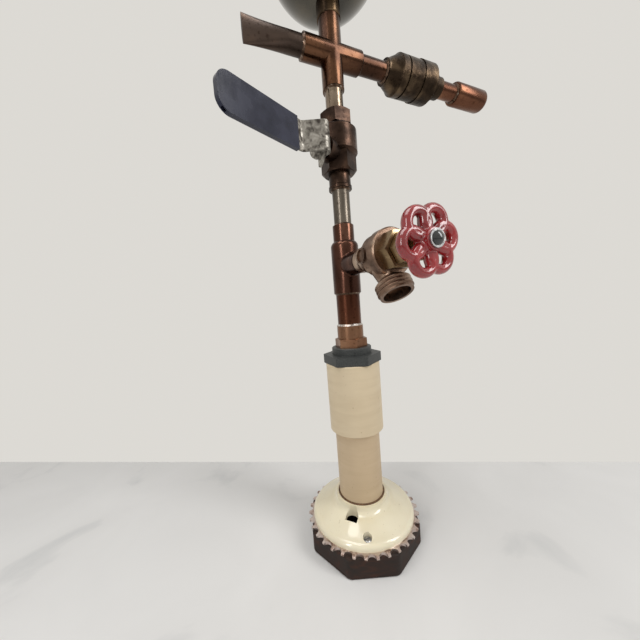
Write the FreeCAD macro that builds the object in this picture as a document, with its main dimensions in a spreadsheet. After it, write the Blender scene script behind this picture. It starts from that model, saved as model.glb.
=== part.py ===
import FreeCAD, Part
import os
import Sketcher

# Industrial pipe table lamp. Origin on the lamp's axis at the foot's underside, +Z up,
# +X along the arm with the check valve, -Y along the branch with the drain tap.

Vector = FreeCAD.Vector
Rotation = FreeCAD.Rotation

os.makedirs("parts", exist_ok=True)
doc = FreeCAD.newDocument("PipeLamp")

# Driving sizes in millimetres and degrees, as they would be read off the real lamp.
SIZES = {
    "fit_clearance": 0.15,
    "running_clearance": 0.05,
    "soft_gap": 0.3,
    # eight-sided wooden foot
    "foot_flats": 101,
    "foot_height": 19,
    "foot_corner_round": 8,
    "foot_edge_round": 1.5,
    # chain wheel of 3/8 inch pitch
    "sprocket_tip_radius": 53.9,
    "sprocket_thickness": 2.5,
    "sprocket_bore_radius": 25,
    "sprocket_teeth": 34,
    "sprocket_turn": 2.4,
    "sprocket_gap_radius": 3.75,
    "sprocket_tip_land": 0.2,
    "sprocket_bevel_reach": 1.8,
    "sprocket_bevel_depth": 0.6,
    # porcelain rose
    "rose_radius": 49,
    "rose_height": 20.5,
    "rose_rim_height": 3,
    "rose_shoulder_height": 5.2,
    "rose_shoulder_radius": 45,
    "rose_foot_of_neck_radius": 27,
    "rose_foot_of_neck_height": 13.5,
    "rose_neck_radius": 24.5,
    "rose_neck_round": 6,
    "rose_rim_round": 4.5,
    "rose_wall": 4.5,
    "rose_ledge_radius": 15,
    "rose_ledge_thickness": 4,
    "rose_turn": 220,
    "cable_hole_radius": 28.5,
    "cable_hole_width": 11,
    "cable_hole_straight": 3.5,
    "cable_hole_round": 5.9,
    "rose_screw_turn": 24,
    "rose_screw_circle": 42,
    "rose_screw_boss_radius": 6,
    "counterbore_radius": 3.8,
    "counterbore_floor": 4,
    "screw_hole_radius": 2.1,
    "screw_shank_radius": 1.9,
    "screw_head_radius": 3.4,
    "screw_head_height": 2.2,
    "screw_length": 16,
    "screw_slot_width": 1,
    # plastic pipe and its coupling
    "plastic_pipe_radius": 21.08,
    "plastic_pipe_wall": 3.56,
    "neck_seal_radius": 22.6,
    "neck_seal_bead": 0.8,
    "plug_height": 14,
    "coupling_bottom": 107,
    "coupling_length": 65,
    "coupling_radius": 25.4,
    "coupling_chamfer": 0.8,
    "coupling_stop_length": 3,
    "coupling_stop_radius": 18.5,
    # bolt through the foot
    "bolt_radius": 3.95,
    "bolt_foot_depth": 15,
    "bolt_above_nut": 4,
    "clamp_washer_radius": 9.5,
    "clamp_washer_thickness": 1.5,
    "clamp_nut_flats": 12.7,
    "clamp_nut_height": 6.5,
    # reducer bushing
    "reducer_spigot_length": 26,
    "reducer_flats": 48,
    "reducer_flange_height": 8.2,
    "reducer_flange_round": 2,
    "reducer_step_radius": 18.7,
    "reducer_step_height": 6.5,
    "reducer_thread_radius": 13.3,
    "reducer_edge": 0.6,
    # copper adapter
    "adapter_hex_flats": 26.6,
    "adapter_hex_height": 8.3,
    "adapter_socket_radius": 12.3,
    "adapter_socket_height": 12,
    "adapter_thread_length": 15,
    "adapter_bore_radius": 9.5,
    "adapter_stop_height": 3,
    # copper tube, nominal 3/4 and 1/2 inch
    "large_tube_radius": 11.11,
    "small_tube_radius": 7.94,
    "tube_wall": 1.02,
    "socket_depth": 13,
    # reducing tee
    "lower_pipe_bare": 30.5,
    "tee_body_radius": 12.8,
    "tee_shoulder_rise": 17.5,
    "tee_neck_radius": 9.8,
    "tee_shoulder_length": 5,
    "tee_neck_length": 14.5,
    "branch_rise": 25.5,
    "branch_socket_end": 28,
    "branch_junction_round": 2.5,
    # drain tap, distances measured out along the branch from the lamp's axis
    "tap_inlet_start": 30,
    "tap_inlet_radius": 10.2,
    "tap_waist_end": 41,
    "tap_waist_radius": 12,
    "tap_chamber_start": 52,
    "tap_chamber_radius": 16,
    "tap_flange_start": 61,
    "tap_flange_end": 70,
    "tap_flange_radius": 17.6,
    "tap_flange_edge": 1,
    "tap_cavity_radius": 12,
    "tap_seat_start": 47.5,
    "tap_seat_radius": 5.5,
    "outlet_angle": 30,
    "outlet_origin": 54,
    "outlet_length": 35,
    "outlet_neck_radius": 9,
    "hose_thread_radius": 13.45,
    "hose_thread_length": 10,
    "hose_thread_ridge": 1,
    "hose_thread_ridges": 3,
    "outlet_bore_radius": 6.5,
    "outlet_mouth_radius": 10.2,
    "outlet_mouth_depth": 8,
    "boss_radius": 5.6,
    "boss_height": 1.2,
    "boss_place": 53,
    "bonnet_flats": 25,
    "bonnet_end": 80,
    "bonnet_neck_radius": 8,
    "bonnet_neck_end": 86,
    "bonnet_spigot_start": 64,
    "packing_nut_flats": 20,
    "packing_nut_end": 92.5,
    "tap_stem_radius": 3.95,
    "tap_stem_collar_radius": 6.5,
    "tap_stem_collar_start": 60,
    "seat_washer_radius": 8,
    "seat_washer_thickness": 3.2,
    "seat_washer_stem_radius": 2.2,
    "stem_travel": 6,
    # handwheel
    "wheel_rear": 96.5,
    "wheel_depth": 11,
    "wheel_lobes": 6,
    "wheel_lobe_centre": 17,
    "wheel_lobe_radius": 8,
    "wheel_waist_radius": 2,
    "wheel_rim_wall": 4,
    "wheel_web": 5,
    "wheel_hub_radius": 7.4,
    "wheel_hub_rise": 1.2,
    "wheel_front_round": 4.2,
    "wheel_rear_round": 1.4,
    "wheel_hole_outer_place": 15.6,
    "wheel_hole_outer_radius": 4.1,
    "wheel_hole_inner_place": 11.6,
    "wheel_hole_inner_radius": 2.5,
    "wheel_washer_radius": 5.6,
    "wheel_washer_thickness": 1,
    "wheel_screw_head_radius": 4.3,
    "wheel_screw_head_height": 2.1,
    "wheel_screw_head_edge": 0.5,
    "wheel_screw_shank_radius": 2,
    "wheel_screw_length": 9,
    # ball valve
    "middle_pipe_bare": 32.5,
    "valve_ball_rise": 29.5,
    "valve_neck_radius": 9.9,
    "valve_neck_length": 13.5,
    "valve_ring_radius": 10.6,
    "valve_ring_height": 2.6,
    "valve_flats": 28,
    "valve_barrel_rise": 1.5,
    "valve_barrel_radius": 17.9,
    "valve_barrel_length": 19,
    "valve_cone_length": 4,
    "valve_cone_radius": 13.6,
    "valve_end_flats": 26.4,
    "valve_end_length": 12,
    "valve_ball_radius": 11.5,
    "valve_ball_bore": 6.4,
    "valve_chamber_radius": 12.5,
    "valve_joint_rise": 12.5,
    "stem_turn": 210,
    "valve_boss_radius": 9.6,
    "valve_boss_end": 23,
    "gland_nut_flats": 15,
    "gland_nut_end": 28.5,
    "ball_stem_radius": 3.9,
    "ball_stem_inner": 9.3,
    "lever_inner_face": 29,
    "lever_thickness": 2,
    "lever_width": 23,
    "lever_hub_back": 9,
    "lever_hub_front": 8,
    "lever_fold_radius": 3,
    "lever_fold_angle": 143.4,
    "lever_front_length": 15,
    "lever_bend_radius": 4,
    "lever_bend_angle": 49.3,
    "lever_length": 67,
    "lever_tip_round": 8,
    "lever_stop_drop": 7,
    "lever_stop_root": 8,
    "lever_stop_tip": 2,
    "solder_width": 1.3,
    "solder_height": 1.6,
    "sleeve_wall": 0.9,
    "sleeve_bare_length": 3,
    "sleeve_tip_wall": 3,
    "sleeve_tip_round": 9,
    "lever_nut_flats": 11,
    "lever_nut_height": 4,
    # copper cross
    "upper_pipe_bare": 21,
    "cross_radius": 9.8,
    "cross_leg": 30.5,
    "cross_arm": 28,
    "cross_upper_length": 28.5,
    # left arm
    "left_arm_end": 78,
    "flat_start": 42,
    "flat_mouth_height": 23.5,
    "flat_mouth_gap": 1.6,
    # right arm and check valve
    "check_start": 57,
    "check_cone_end": 68,
    "check_inlet_radius": 11,
    "check_barrel_radius": 17.2,
    "check_groove_place": 76,
    "check_groove_width": 2,
    "check_groove_depth": 1,
    "check_joint": 95,
    "check_band_radius": 18,
    "check_band_end": 112,
    "check_step_radius": 13,
    "check_step_end": 118,
    "check_tail_radius": 10,
    "check_end": 127,
    "check_chamber_radius": 13,
    "poppet_radius": 10.4,
    "poppet_thickness": 3,
    "poppet_stem_radius": 3.2,
    "poppet_travel": 4,
    "spring_wire_radius": 0.6,
    "spring_radius": 5.4,
    "arm_end_cap_start": 150,
    "arm_end_cap_radius": 11.1,
    "arm_end": 196,
    "arm_end_cap_wall": 2.6,
    # top adapter, bowl and lampholder
    "top_adapter_radius": 10.6,
    "top_adapter_length": 13,
    "top_adapter_spigot": 11,
    "bowl_radius": 54,
    "bowl_height": 47,
    "bowl_wall": 1.2,
    "bowl_rim_radius": 1.8,
    "bowl_base_radius": 13,
    "nipple_radius": 4.8,
    "nipple_bore_radius": 3,
    "nipple_length": 26,
    "locknut_flats": 17,
    "locknut_height": 3,
    "holder_base_radius": 16,
    "holder_radius": 19,
    "holder_height": 34,
    "holder_wall": 3,
    "holder_floor": 6,
    "holder_sleeve_radius": 14.2,
    "holder_sleeve_wall": 0.6,
    "contact_radius": 4.5,
    "contact_height": 2.6,
    "contact_thickness": 0.8,
    "bulb_cap_radius": 12.9,
    "bulb_cap_height": 24,
    "bulb_radius": 30,
    "bulb_cap_wall": 0.6,
    "bulb_neck_radius": 12.1,
    "bulb_neck_length": 4,
    "bulb_neck_round": 14,
    "bulb_join_radius": 22,
    "bulb_wall": 1,
    "bulb_centre_rise": 28,
    "mount_rod_radius": 2.2,
    "filament_rise": 12,
    "filament_height": 28,
    "filament_disc": 0.6,
    "filament_disc_radius": 7,
    "filament_turns": 6,
    "filament_radius": 6,
    "filament_wire_radius": 0.4,
    "outlet_root_radius": 11.5,
    "outlet_root_end": 8,
    "tap_stem_collar_length": 2.5,
    "packing_height": 2.5,
    "seat_washer_shank": 6,
    "wheel_turn": 9,
    "valve_thread_radius": 14.2,
    "valve_seat_bore": 8,
    "ball_key_width": 3,
    "flat_middle": 58,
    "flat_middle_height": 19.2,
    "flat_middle_width": 10.8,
    "check_seat_bore": 6.5,
    "check_spigot_length": 7,
    "check_spigot_bore": 10.6,
    "check_guide_thickness": 4,
    "guide_hole_radius": 2.2,
    "guide_hole_count": 4,
    "spring_turns": 5,
}

sheet = doc.addObject("Spreadsheet::Sheet", "Sizes")
for row, (alias, number) in enumerate(SIZES.items(), 1):
    sheet.set(f"A{row}", alias)
    sheet.set(f"B{row}", str(number))
    sheet.setAlias(f"B{row}", alias)
doc.recompute()

kept = []


def resolve(text):
    """The expression with every size name pointing at the sheet."""
    words = []
    word = ""
    for letter in text + " ":
        if letter.isalnum() or letter == "_":
            word += letter
            continue
        words.append(f"Sizes.{word}" if word in SIZES else word)
        words.append(letter)
        word = ""
    return "".join(words).strip()


def number(text):
    return float(sheet.evalExpression(resolve(text)))


def bind(thing, target, text):
    thing.setExpression(target, resolve(text))


def place(thing, x="0", y="0", z="0", rotation=None):
    """Puts a sub-part at a place given by sizes, turned as given."""
    thing.Placement = FreeCAD.Placement(Vector(), rotation or Rotation())
    for target, text in (("x", x), ("y", y), ("z", z)):
        bind(thing, f"Placement.Base.{target}", text)


def keep(thing, label):
    """Marks a finished sub-part: its label names its file."""
    thing.Label = label
    kept.append(thing)
    return thing


UP = Rotation()
RIGHT = Rotation(Vector(0, 1, 0), 90)
LEFT = Rotation(Vector(0, 1, 0), -90)
FRONT = Rotation(Vector(1, 0, 0), 90)
DOWN = Rotation(Vector(1, 0, 0), 180)


def new_sketch(body, name, plane="XZ_Plane"):
    sketch = body.newObject("Sketcher::SketchObject", name)
    role = [feature for feature in body.Origin.OriginFeatures if feature.Role == plane]
    sketch.AttachmentSupport = [(role[0], "")]
    sketch.MapMode = "FlatFace"
    return sketch


def fix_point(sketch, piece, position, x, y):
    """Ties one end or centre in a sketch to two sizes."""
    for kind, text in (("DistanceX", x), ("DistanceY", y)):
        index = sketch.addConstraint(Sketcher.Constraint(kind, -1, 1, piece, position, number(text)))
        bind(sketch, f"Constraints[{index}]", text)


def draw_outline(sketch, corners):
    """A closed outline. A corner is (x, y) or (x, y, radius, side): the stretch that follows it is then
    an arc of that radius, which turns left or right."""
    first = sketch.GeometryCount
    ends = []
    places = [Vector(number(corner[0]), number(corner[1]), 0) for corner in corners]
    for index, corner in enumerate(corners):
        start = places[index]
        finish = places[(index + 1) % len(places)]
        if len(corner) == 2:
            ends.append((sketch.addGeometry(Part.LineSegment(start, finish), False), 1, 2))
            continue
        radius = number(corner[2])
        chord = finish - start
        side = Vector(-chord.y, chord.x, 0).normalize()
        rise = max(radius * radius - chord.Length ** 2 / 4, 0) ** 0.5
        turn_left = corner[3] == "left"
        centre = (start + finish) / 2 + side * (rise if turn_left else -rise)
        circle = Part.Circle(centre, Vector(0, 0, 1), radius)
        low, high = (start, finish) if turn_left else (finish, start)
        low_angle = circle.parameter(low)
        high_angle = circle.parameter(high)
        if high_angle < low_angle:
            high_angle += 6.283185307179586
        arc = sketch.addGeometry(Part.ArcOfCircle(circle, low_angle, high_angle), False)
        ends.append((arc, 1, 2) if turn_left else (arc, 2, 1))
    for index, corner in enumerate(corners):
        piece, start_end, finish_end = ends[index]
        following = ends[(index + 1) % len(ends)]
        sketch.addConstraint(Sketcher.Constraint("Coincident", piece, finish_end, following[0], following[1]))
        fix_point(sketch, piece, start_end, corner[0], corner[1])
        if len(corner) > 2:
            radius_index = sketch.addConstraint(
                Sketcher.Constraint("Radius", piece, number(corner[2])))
            bind(sketch, f"Constraints[{radius_index}]", corner[2])
    return first


def draw_circle(sketch, x, y, radius):
    piece = sketch.addGeometry(
        Part.Circle(Vector(number(x), number(y), 0), Vector(0, 0, 1), number(radius)), False)
    index = sketch.addConstraint(Sketcher.Constraint("Radius", piece, number(radius)))
    bind(sketch, f"Constraints[{index}]", radius)
    fix_point(sketch, piece, 3, x, y)


def new_body(name):
    return doc.addObject("PartDesign::Body", name)


def turn(body, name, *outlines, cut=False, origin=None, tilt=None):
    """Turns outlines about the body's Z axis, or about an axis that leaves it at a height and tilt."""
    sketch = new_sketch(body, f"{name}_outline", "YZ_Plane" if origin else "XZ_Plane")
    if origin:
        sketch.AttachmentOffset = FreeCAD.Placement(Vector(), Rotation(Vector(0, 0, 1), number(tilt)))
        bind(sketch, "AttachmentOffset.Base.y", origin)
    for outline in outlines:
        draw_outline(sketch, outline)
    kind = "PartDesign::Groove" if cut else "PartDesign::Revolution"
    feature = body.newObject(kind, name)
    feature.Profile = sketch
    feature.ReferenceAxis = (sketch, ["V_Axis"])
    feature.Angle = 360
    body.Tip = feature
    return feature


def extrude(body, name, sketch, length, cut=False, start="0", reverse=False):
    """Pads or pockets a sketch along its normal, from an offset."""
    bind(sketch, "AttachmentOffset.Base.z", start)
    feature = body.newObject("PartDesign::Pocket" if cut else "PartDesign::Pad", name)
    feature.Profile = sketch
    bind(feature, "Length", length)
    feature.Reversed = reverse
    body.Tip = feature
    return feature


def polar(body, name, feature, count):
    pattern = body.newObject("PartDesign::PolarPattern", name)
    pattern.Originals = [feature]
    axis = [item for item in body.Origin.OriginFeatures if item.Role == "Z_Axis"]
    pattern.Axis = (axis[0], [""])
    pattern.Angle = 360
    bind(pattern, "Occurrences", count)
    body.Tip = pattern
    return pattern


def round_edges(body, name, radius, chooser, kind="PartDesign::Fillet"):
    """Fillets or chamfers the edges that the chooser picks on the body so far."""
    doc.recompute()
    base = body.Tip
    names = [f"Edge{count}" for count, edge in enumerate(base.Shape.Edges, 1) if chooser(edge)]
    feature = body.newObject(kind, name)
    feature.Base = (base, names)
    bind(feature, "Size" if kind.endswith("Chamfer") else "Radius", radius)
    body.Tip = feature
    return feature


def turned_part(label, outlines, **where):
    """A part that is one revolve, such as a tube, ring or washer."""
    body = new_body(label)
    turn(body, f"{label}_turned", *outlines)
    place(body, **where)
    return keep(body, label)


def ring(inner, outer, bottom, top):
    return [(inner, bottom), (outer, bottom), (outer, top), (inner, top)]


def hexagon(body, name, flats, bottom, height, corner_on_y=False):
    """A six-sided block, its corners on the X axis, or on the Y axis."""
    sketch = new_sketch(body, f"{name}_outline", "XY_Plane")
    corners = []
    for count in range(6):
        angle = 60 * count + (30 if corner_on_y else 0)
        corners.append((f"{flats} / sqrt(3) * cos({angle} deg)", f"{flats} / sqrt(3) * sin({angle} deg)"))
    draw_outline(sketch, corners)
    return extrude(body, name, sketch, height, start=bottom)


def is_at(edge, height, tolerance=0.01):
    return all(abs(vertex.Z - height) < tolerance for vertex in edge.Vertexes)


def reach(edge):
    """Distance of an edge's nearest end from its part's own Z axis."""
    return min((vertex.X ** 2 + vertex.Y ** 2) ** 0.5 for vertex in edge.Vertexes)


# Places that follow from the sizes.
SPROCKET_SEAT = "foot_height"
ROSE_SEAT = "(foot_height + sprocket_thickness)"
ROSE_TOP = f"({ROSE_SEAT} + rose_height)"
LEDGE_TOP = f"({ROSE_SEAT} + rose_foot_of_neck_height)"
PIPE_BORE = "(plastic_pipe_radius - plastic_pipe_wall)"
COUPLING_TOP = "(coupling_bottom + coupling_length)"
COUPLING_STOP_BOTTOM = "(coupling_bottom + coupling_length / 2 - coupling_stop_length / 2)"
FLANGE_TOP = f"({COUPLING_TOP} + reducer_flange_height)"
STEP_TOP = f"({FLANGE_TOP} + reducer_step_height)"
ADAPTER_HEX_TOP = f"({STEP_TOP} + adapter_hex_height)"
ADAPTER_TOP = f"({ADAPTER_HEX_TOP} + adapter_socket_height)"
LARGE_SOCKET = "(large_tube_radius + running_clearance)"
SMALL_SOCKET = "(small_tube_radius + running_clearance)"
SMALL_BORE = "(small_tube_radius - tube_wall)"
TEE_BOTTOM = f"({ADAPTER_TOP} + lower_pipe_bare)"
BRANCH_HEIGHT = f"({TEE_BOTTOM} + branch_rise)"
TEE_SHOULDER = f"({BRANCH_HEIGHT} + tee_shoulder_rise)"
TEE_NECK_START = f"({TEE_SHOULDER} + tee_shoulder_length)"
TEE_TOP = f"({TEE_NECK_START} + tee_neck_length)"
VALVE_BOTTOM = f"({TEE_TOP} + middle_pipe_bare)"
VALVE_NECK_TOP = f"({VALVE_BOTTOM} + valve_neck_length)"
BALL_HEIGHT = f"({VALVE_BOTTOM} + valve_ball_rise)"
VALVE_JOINT = f"({BALL_HEIGHT} + valve_joint_rise)"
VALVE_BARREL_BOTTOM = f"({BALL_HEIGHT} + valve_barrel_rise)"
VALVE_BARREL_TOP = f"({VALVE_BARREL_BOTTOM} + valve_barrel_length)"
VALVE_CONE_TOP = f"({VALVE_BARREL_TOP} + valve_cone_length)"
VALVE_TOP = f"({VALVE_CONE_TOP} + valve_end_length)"
CROSS_BOTTOM = f"({VALVE_TOP} + upper_pipe_bare)"
CROSS_HEIGHT = f"({CROSS_BOTTOM} + cross_leg)"


def foot_block():
    """Wooden foot: an octagon with its corners on the axes, edges eased, a blind hole for the bolt."""
    body = new_body("foot_block")
    sketch = new_sketch(body, "foot_outline", "XY_Plane")
    draw_outline(sketch, [
        (f"foot_flats / 2 / cos(22.5 deg) * cos({45 * count} deg)",
         f"foot_flats / 2 / cos(22.5 deg) * sin({45 * count} deg)") for count in range(8)])
    extrude(body, "foot_pad", sketch, "foot_height")
    height = number("foot_height")
    round_edges(body, "foot_corners", "foot_corner_round",
                lambda edge: abs(edge.Vertexes[0].Z - edge.Vertexes[-1].Z) > height / 2)
    round_edges(body, "foot_edges", "foot_edge_round", lambda edge: is_at(edge, height) or is_at(edge, 0))
    turn(body, "bolt_hole", [
        ("0", "foot_height - bolt_foot_depth"),
        ("bolt_radius + fit_clearance", "foot_height - bolt_foot_depth"),
        ("bolt_radius + fit_clearance", "foot_height + 1"),
        ("0", "foot_height + 1")], cut=True)
    drill_screw_holes(body, "screw_length - counterbore_floor - sprocket_thickness + 1", "foot_height")
    place(body)
    return keep(body, "foot_block")


def drill_screw_holes(body, depth, top, radius="screw_shank_radius + fit_clearance", turned="0"):
    """The two holes for the rose's screws, down from the given height."""
    sketch = new_sketch(body, "screw_holes", "XY_Plane")
    for half_turn in (0, 180):
        angle = f"((rose_turn + rose_screw_turn - {turned} + {half_turn}) * 1 deg)"
        draw_circle(sketch, f"rose_screw_circle * cos({angle})", f"rose_screw_circle * sin({angle})", radius)
    return extrude(body, "screw_hole_pair", sketch, depth, cut=True, start=top)


def sprocket_ring():
    """Chain wheel lying flat: bevelled rim, then one rounded tooth gap patterned round it."""
    body = new_body("sprocket_ring")
    turn(body, "sprocket_disc", [
        ("sprocket_bore_radius", "0"),
        ("sprocket_tip_radius - sprocket_bevel_reach", "0"),
        ("sprocket_tip_radius", "sprocket_bevel_depth"),
        ("sprocket_tip_radius", "sprocket_thickness - sprocket_bevel_depth"),
        ("sprocket_tip_radius - sprocket_bevel_reach", "sprocket_thickness"),
        ("sprocket_bore_radius", "sprocket_thickness")])
    sketch = new_sketch(body, "tooth_gap_outline", "XY_Plane")
    draw_circle(sketch, "sprocket_tip_radius - sprocket_tip_land", "0", "sprocket_gap_radius")
    gap = extrude(body, "tooth_gap", sketch, "sprocket_thickness + 2", cut=True, start="sprocket_thickness + 1")
    polar(body, "tooth_gaps", gap, "sprocket_teeth")
    drill_screw_holes(body, "sprocket_thickness + 1", "sprocket_thickness", turned="sprocket_turn")
    place(body, z=SPROCKET_SEAT, rotation=Rotation(Vector(0, 0, 1), number("sprocket_turn")))
    return keep(body, "sprocket_ring")


def base_rose():
    """Glazed rose: domed shell with a necked collar, a D-shaped cable hole and two counterbores."""
    body = new_body("base_rose")
    turn(body, "rose_dome", [
        ("rose_ledge_radius", "rose_foot_of_neck_height - rose_ledge_thickness"),
        ("rose_foot_of_neck_radius", "rose_foot_of_neck_height - rose_ledge_thickness"),
        ("rose_shoulder_radius - rose_wall", "rose_shoulder_height - 2"),
        ("rose_shoulder_radius - rose_wall", "0"),
        ("rose_radius", "0"),
        ("rose_radius", "rose_rim_height", "rose_rim_round", "left"),
        ("rose_shoulder_radius", "rose_shoulder_height + 1"),
        ("rose_foot_of_neck_radius + 3", "rose_foot_of_neck_height - 1", "rose_neck_round", "right"),
        ("rose_neck_radius", "rose_height - 4"),
        ("rose_neck_radius", "rose_height"),
        ("neck_seal_radius + fit_clearance", "rose_height"),
        ("neck_seal_radius + fit_clearance", "rose_foot_of_neck_height + 4"),
        ("plastic_pipe_radius + fit_clearance", "rose_foot_of_neck_height + 4"),
        ("plastic_pipe_radius + fit_clearance", "rose_foot_of_neck_height"),
        ("rose_ledge_radius", "rose_foot_of_neck_height")])
    turn_angle = number("rose_turn")
    bosses = new_sketch(body, "screw_boss_outline", "XY_Plane")
    counterbores = new_sketch(body, "counterbore_outline", "XY_Plane")
    holes = new_sketch(body, "rose_screw_outline", "XY_Plane")
    for half_turn in (0, 180):
        angle = f"((rose_screw_turn + {half_turn}) * 1 deg)"
        x = f"rose_screw_circle * cos({angle})"
        y = f"rose_screw_circle * sin({angle})"
        draw_circle(bosses, x, y, "rose_screw_boss_radius")
        draw_circle(counterbores, x, y, "counterbore_radius")
        draw_circle(holes, x, y, "screw_hole_radius")
    extrude(body, "screw_bosses", bosses, "counterbore_floor")
    extrude(body, "counterbores", counterbores, "rose_height", cut=True,
            start="rose_height + counterbore_floor")
    extrude(body, "rose_screw_holes", holes, "counterbore_floor + 2", cut=True, start="counterbore_floor + 1")
    cable = new_sketch(body, "cable_hole_outline", "XY_Plane")
    outer = "cable_hole_radius + cable_hole_width / 2 - cable_hole_straight / 2"
    inner = "cable_hole_radius - cable_hole_straight / 2"
    draw_outline(cable, [
        (outer, "-cable_hole_width / 2"),
        (outer, "cable_hole_width / 2"),
        (inner, "cable_hole_width / 2", "cable_hole_round", "left"),
        (inner, "-cable_hole_width / 2")])
    extrude(body, "cable_hole", cable, "rose_height + 1", cut=True, start="rose_height")
    place(body, z=ROSE_SEAT, rotation=Rotation(Vector(0, 0, 1), turn_angle))
    return keep(body, "base_rose")


def rose_screws():
    """Two slotted screws at the bottom of the rose's counterbores."""
    screws = []
    for half_turn in (0, 180):
        name = f"rose_screw_{half_turn}"
        body = new_body(name)
        turn(body, f"{name}_turned", [
            ("0", "-screw_length"),
            ("screw_shank_radius", "-screw_length + screw_shank_radius"),
            ("screw_shank_radius", "0"),
            ("screw_head_radius", "0"),
            ("screw_head_radius", "screw_head_height * 0.6"),
            ("screw_head_radius * 0.7", "screw_head_height"),
            ("0", "screw_head_height")])
        slot = new_sketch(body, f"{name}_slot_outline", "XY_Plane")
        draw_outline(slot, [
            ("-screw_head_radius - 1", "-screw_slot_width / 2"),
            ("screw_head_radius + 1", "-screw_slot_width / 2"),
            ("screw_head_radius + 1", "screw_slot_width / 2"),
            ("-screw_head_radius - 1", "screw_slot_width / 2")])
        extrude(body, f"{name}_slot", slot, "screw_slot_width", cut=True, start="screw_head_height")
        angle = f"((rose_turn + rose_screw_turn + {half_turn}) * 1 deg)"
        place(body, f"rose_screw_circle * cos({angle})", f"rose_screw_circle * sin({angle})",
              f"{ROSE_SEAT} + counterbore_floor")
        screws.append(body)
    group = doc.addObject("Part::Compound", "rose_screws")
    group.Links = screws
    return keep(group, "rose_screws")


def clamp_stack():
    """Hanger bolt screwed into the foot, a turned plug in the pipe, washer and nut that pull it down."""
    turned_part("hanger_bolt", [[
        ("0", "0"),
        ("bolt_radius * 0.4", "0"),
        ("bolt_radius", "bolt_radius"),
        ("bolt_radius", f"{BOLT_LENGTH} - 0.8"),
        ("bolt_radius - 0.8", BOLT_LENGTH),
        ("0", BOLT_LENGTH)]], z="foot_height - bolt_foot_depth")
    turned_part("pipe_plug", [ring(
        "bolt_radius + fit_clearance", f"{PIPE_BORE} - fit_clearance", "0", "plug_height")], z=LEDGE_TOP)
    turned_part("clamp_washer", [ring(
        "bolt_radius + fit_clearance", "clamp_washer_radius", "0", "clamp_washer_thickness")],
        z=f"{LEDGE_TOP} + plug_height")
    hex_nut("clamp_nut", "clamp_nut_flats", "clamp_nut_height", "bolt_radius",
            z=f"{LEDGE_TOP} + plug_height + clamp_washer_thickness")


BOLT_LENGTH = (f"({LEDGE_TOP} + plug_height + clamp_washer_thickness + clamp_nut_height + bolt_above_nut"
               " - foot_height + bolt_foot_depth)")


def hex_nut(label, flats, height, hole, **where):
    """A plain nut with chamfered corners, on a thread shown as its outer cylinder."""
    body = new_body(label)
    hexagon(body, f"{label}_block", flats, "0", height)
    turn(body, f"{label}_bore", ring("0", f"{hole} + fit_clearance", "-1", f"{height} + 1"), cut=True)
    corner_cut(body, f"{label}_corners", flats, height)
    place(body, **where)
    return keep(body, label)


def corner_cut(body, name, flats, top, drop="1"):
    """Takes the corners off the top of a hexagon with a shallow cone."""
    turn(body, name, [
        (f"{flats} / 2", f"{top} + 1"),
        (f"{flats} / 2", top),
        (f"{flats} / sqrt(3) + 1", f"{top} - {drop}"),
        (f"{flats} / sqrt(3) + 1", f"{top} + 1")], cut=True)


def plastic_pipework():
    """Lower pipe, the seal round it, and the coupling over its top with an inner stop."""
    turned_part("neck_seal", [[
        ("plastic_pipe_radius + 0.02", "0"),
        ("neck_seal_radius", "0"),
        ("neck_seal_radius", "rose_height - rose_foot_of_neck_height - 4"),
        ("plastic_pipe_radius + 0.02", "rose_height - rose_foot_of_neck_height - 4 + neck_seal_bead")]],
        z=f"{LEDGE_TOP} + 4")
    turned_part("lower_plastic_pipe", [ring(
        PIPE_BORE, "plastic_pipe_radius", "0", f"{COUPLING_STOP_BOTTOM} - {LEDGE_TOP}")], z=LEDGE_TOP)
    socket = "(plastic_pipe_radius + fit_clearance)"
    turned_part("pipe_coupling", [[
        (socket, "0"),
        ("coupling_radius - coupling_chamfer", "0"),
        ("coupling_radius", "coupling_chamfer"),
        ("coupling_radius", "coupling_length - coupling_chamfer"),
        ("coupling_radius - coupling_chamfer", "coupling_length"),
        (socket, "coupling_length"),
        (socket, "coupling_length / 2 + coupling_stop_length / 2"),
        ("coupling_stop_radius", "coupling_length / 2 + coupling_stop_length / 2"),
        ("coupling_stop_radius", "coupling_length / 2 - coupling_stop_length / 2"),
        (socket, "coupling_length / 2 - coupling_stop_length / 2")]], z="coupling_bottom")


def reducer_bushing():
    """Bushing from the coupling to the copper: spigot, six-sided flange, round step and bore."""
    body = new_body("reducer_bushing")
    hexagon(body, "reducer_flange", "reducer_flats", "reducer_spigot_length", "reducer_flange_height",
            corner_on_y=True)
    middle = number("reducer_spigot_length + reducer_flange_height / 2")
    round_edges(body, "reducer_flange_corners", "reducer_flange_round",
                lambda edge: abs(edge.CenterOfMass.z - middle) < 0.01)
    turn(body, "reducer_round_parts", [
        ("reducer_thread_radius + 0.1", "0"),
        ("plastic_pipe_radius", "0"),
        ("plastic_pipe_radius", "reducer_spigot_length"),
        ("reducer_step_radius", "reducer_spigot_length"),
        ("reducer_step_radius", f"{REDUCER_LENGTH} - reducer_edge"),
        ("reducer_step_radius - reducer_edge", REDUCER_LENGTH),
        ("reducer_thread_radius + 0.1", REDUCER_LENGTH)])
    turn(body, "reducer_bore", ring("0", "reducer_thread_radius + 0.1", "-1", f"{REDUCER_LENGTH} + 1"), cut=True)
    place(body, z=f"{COUPLING_TOP} - reducer_spigot_length")
    return keep(body, "reducer_bushing")


REDUCER_LENGTH = "(reducer_spigot_length + reducer_flange_height + reducer_step_height)"


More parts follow.
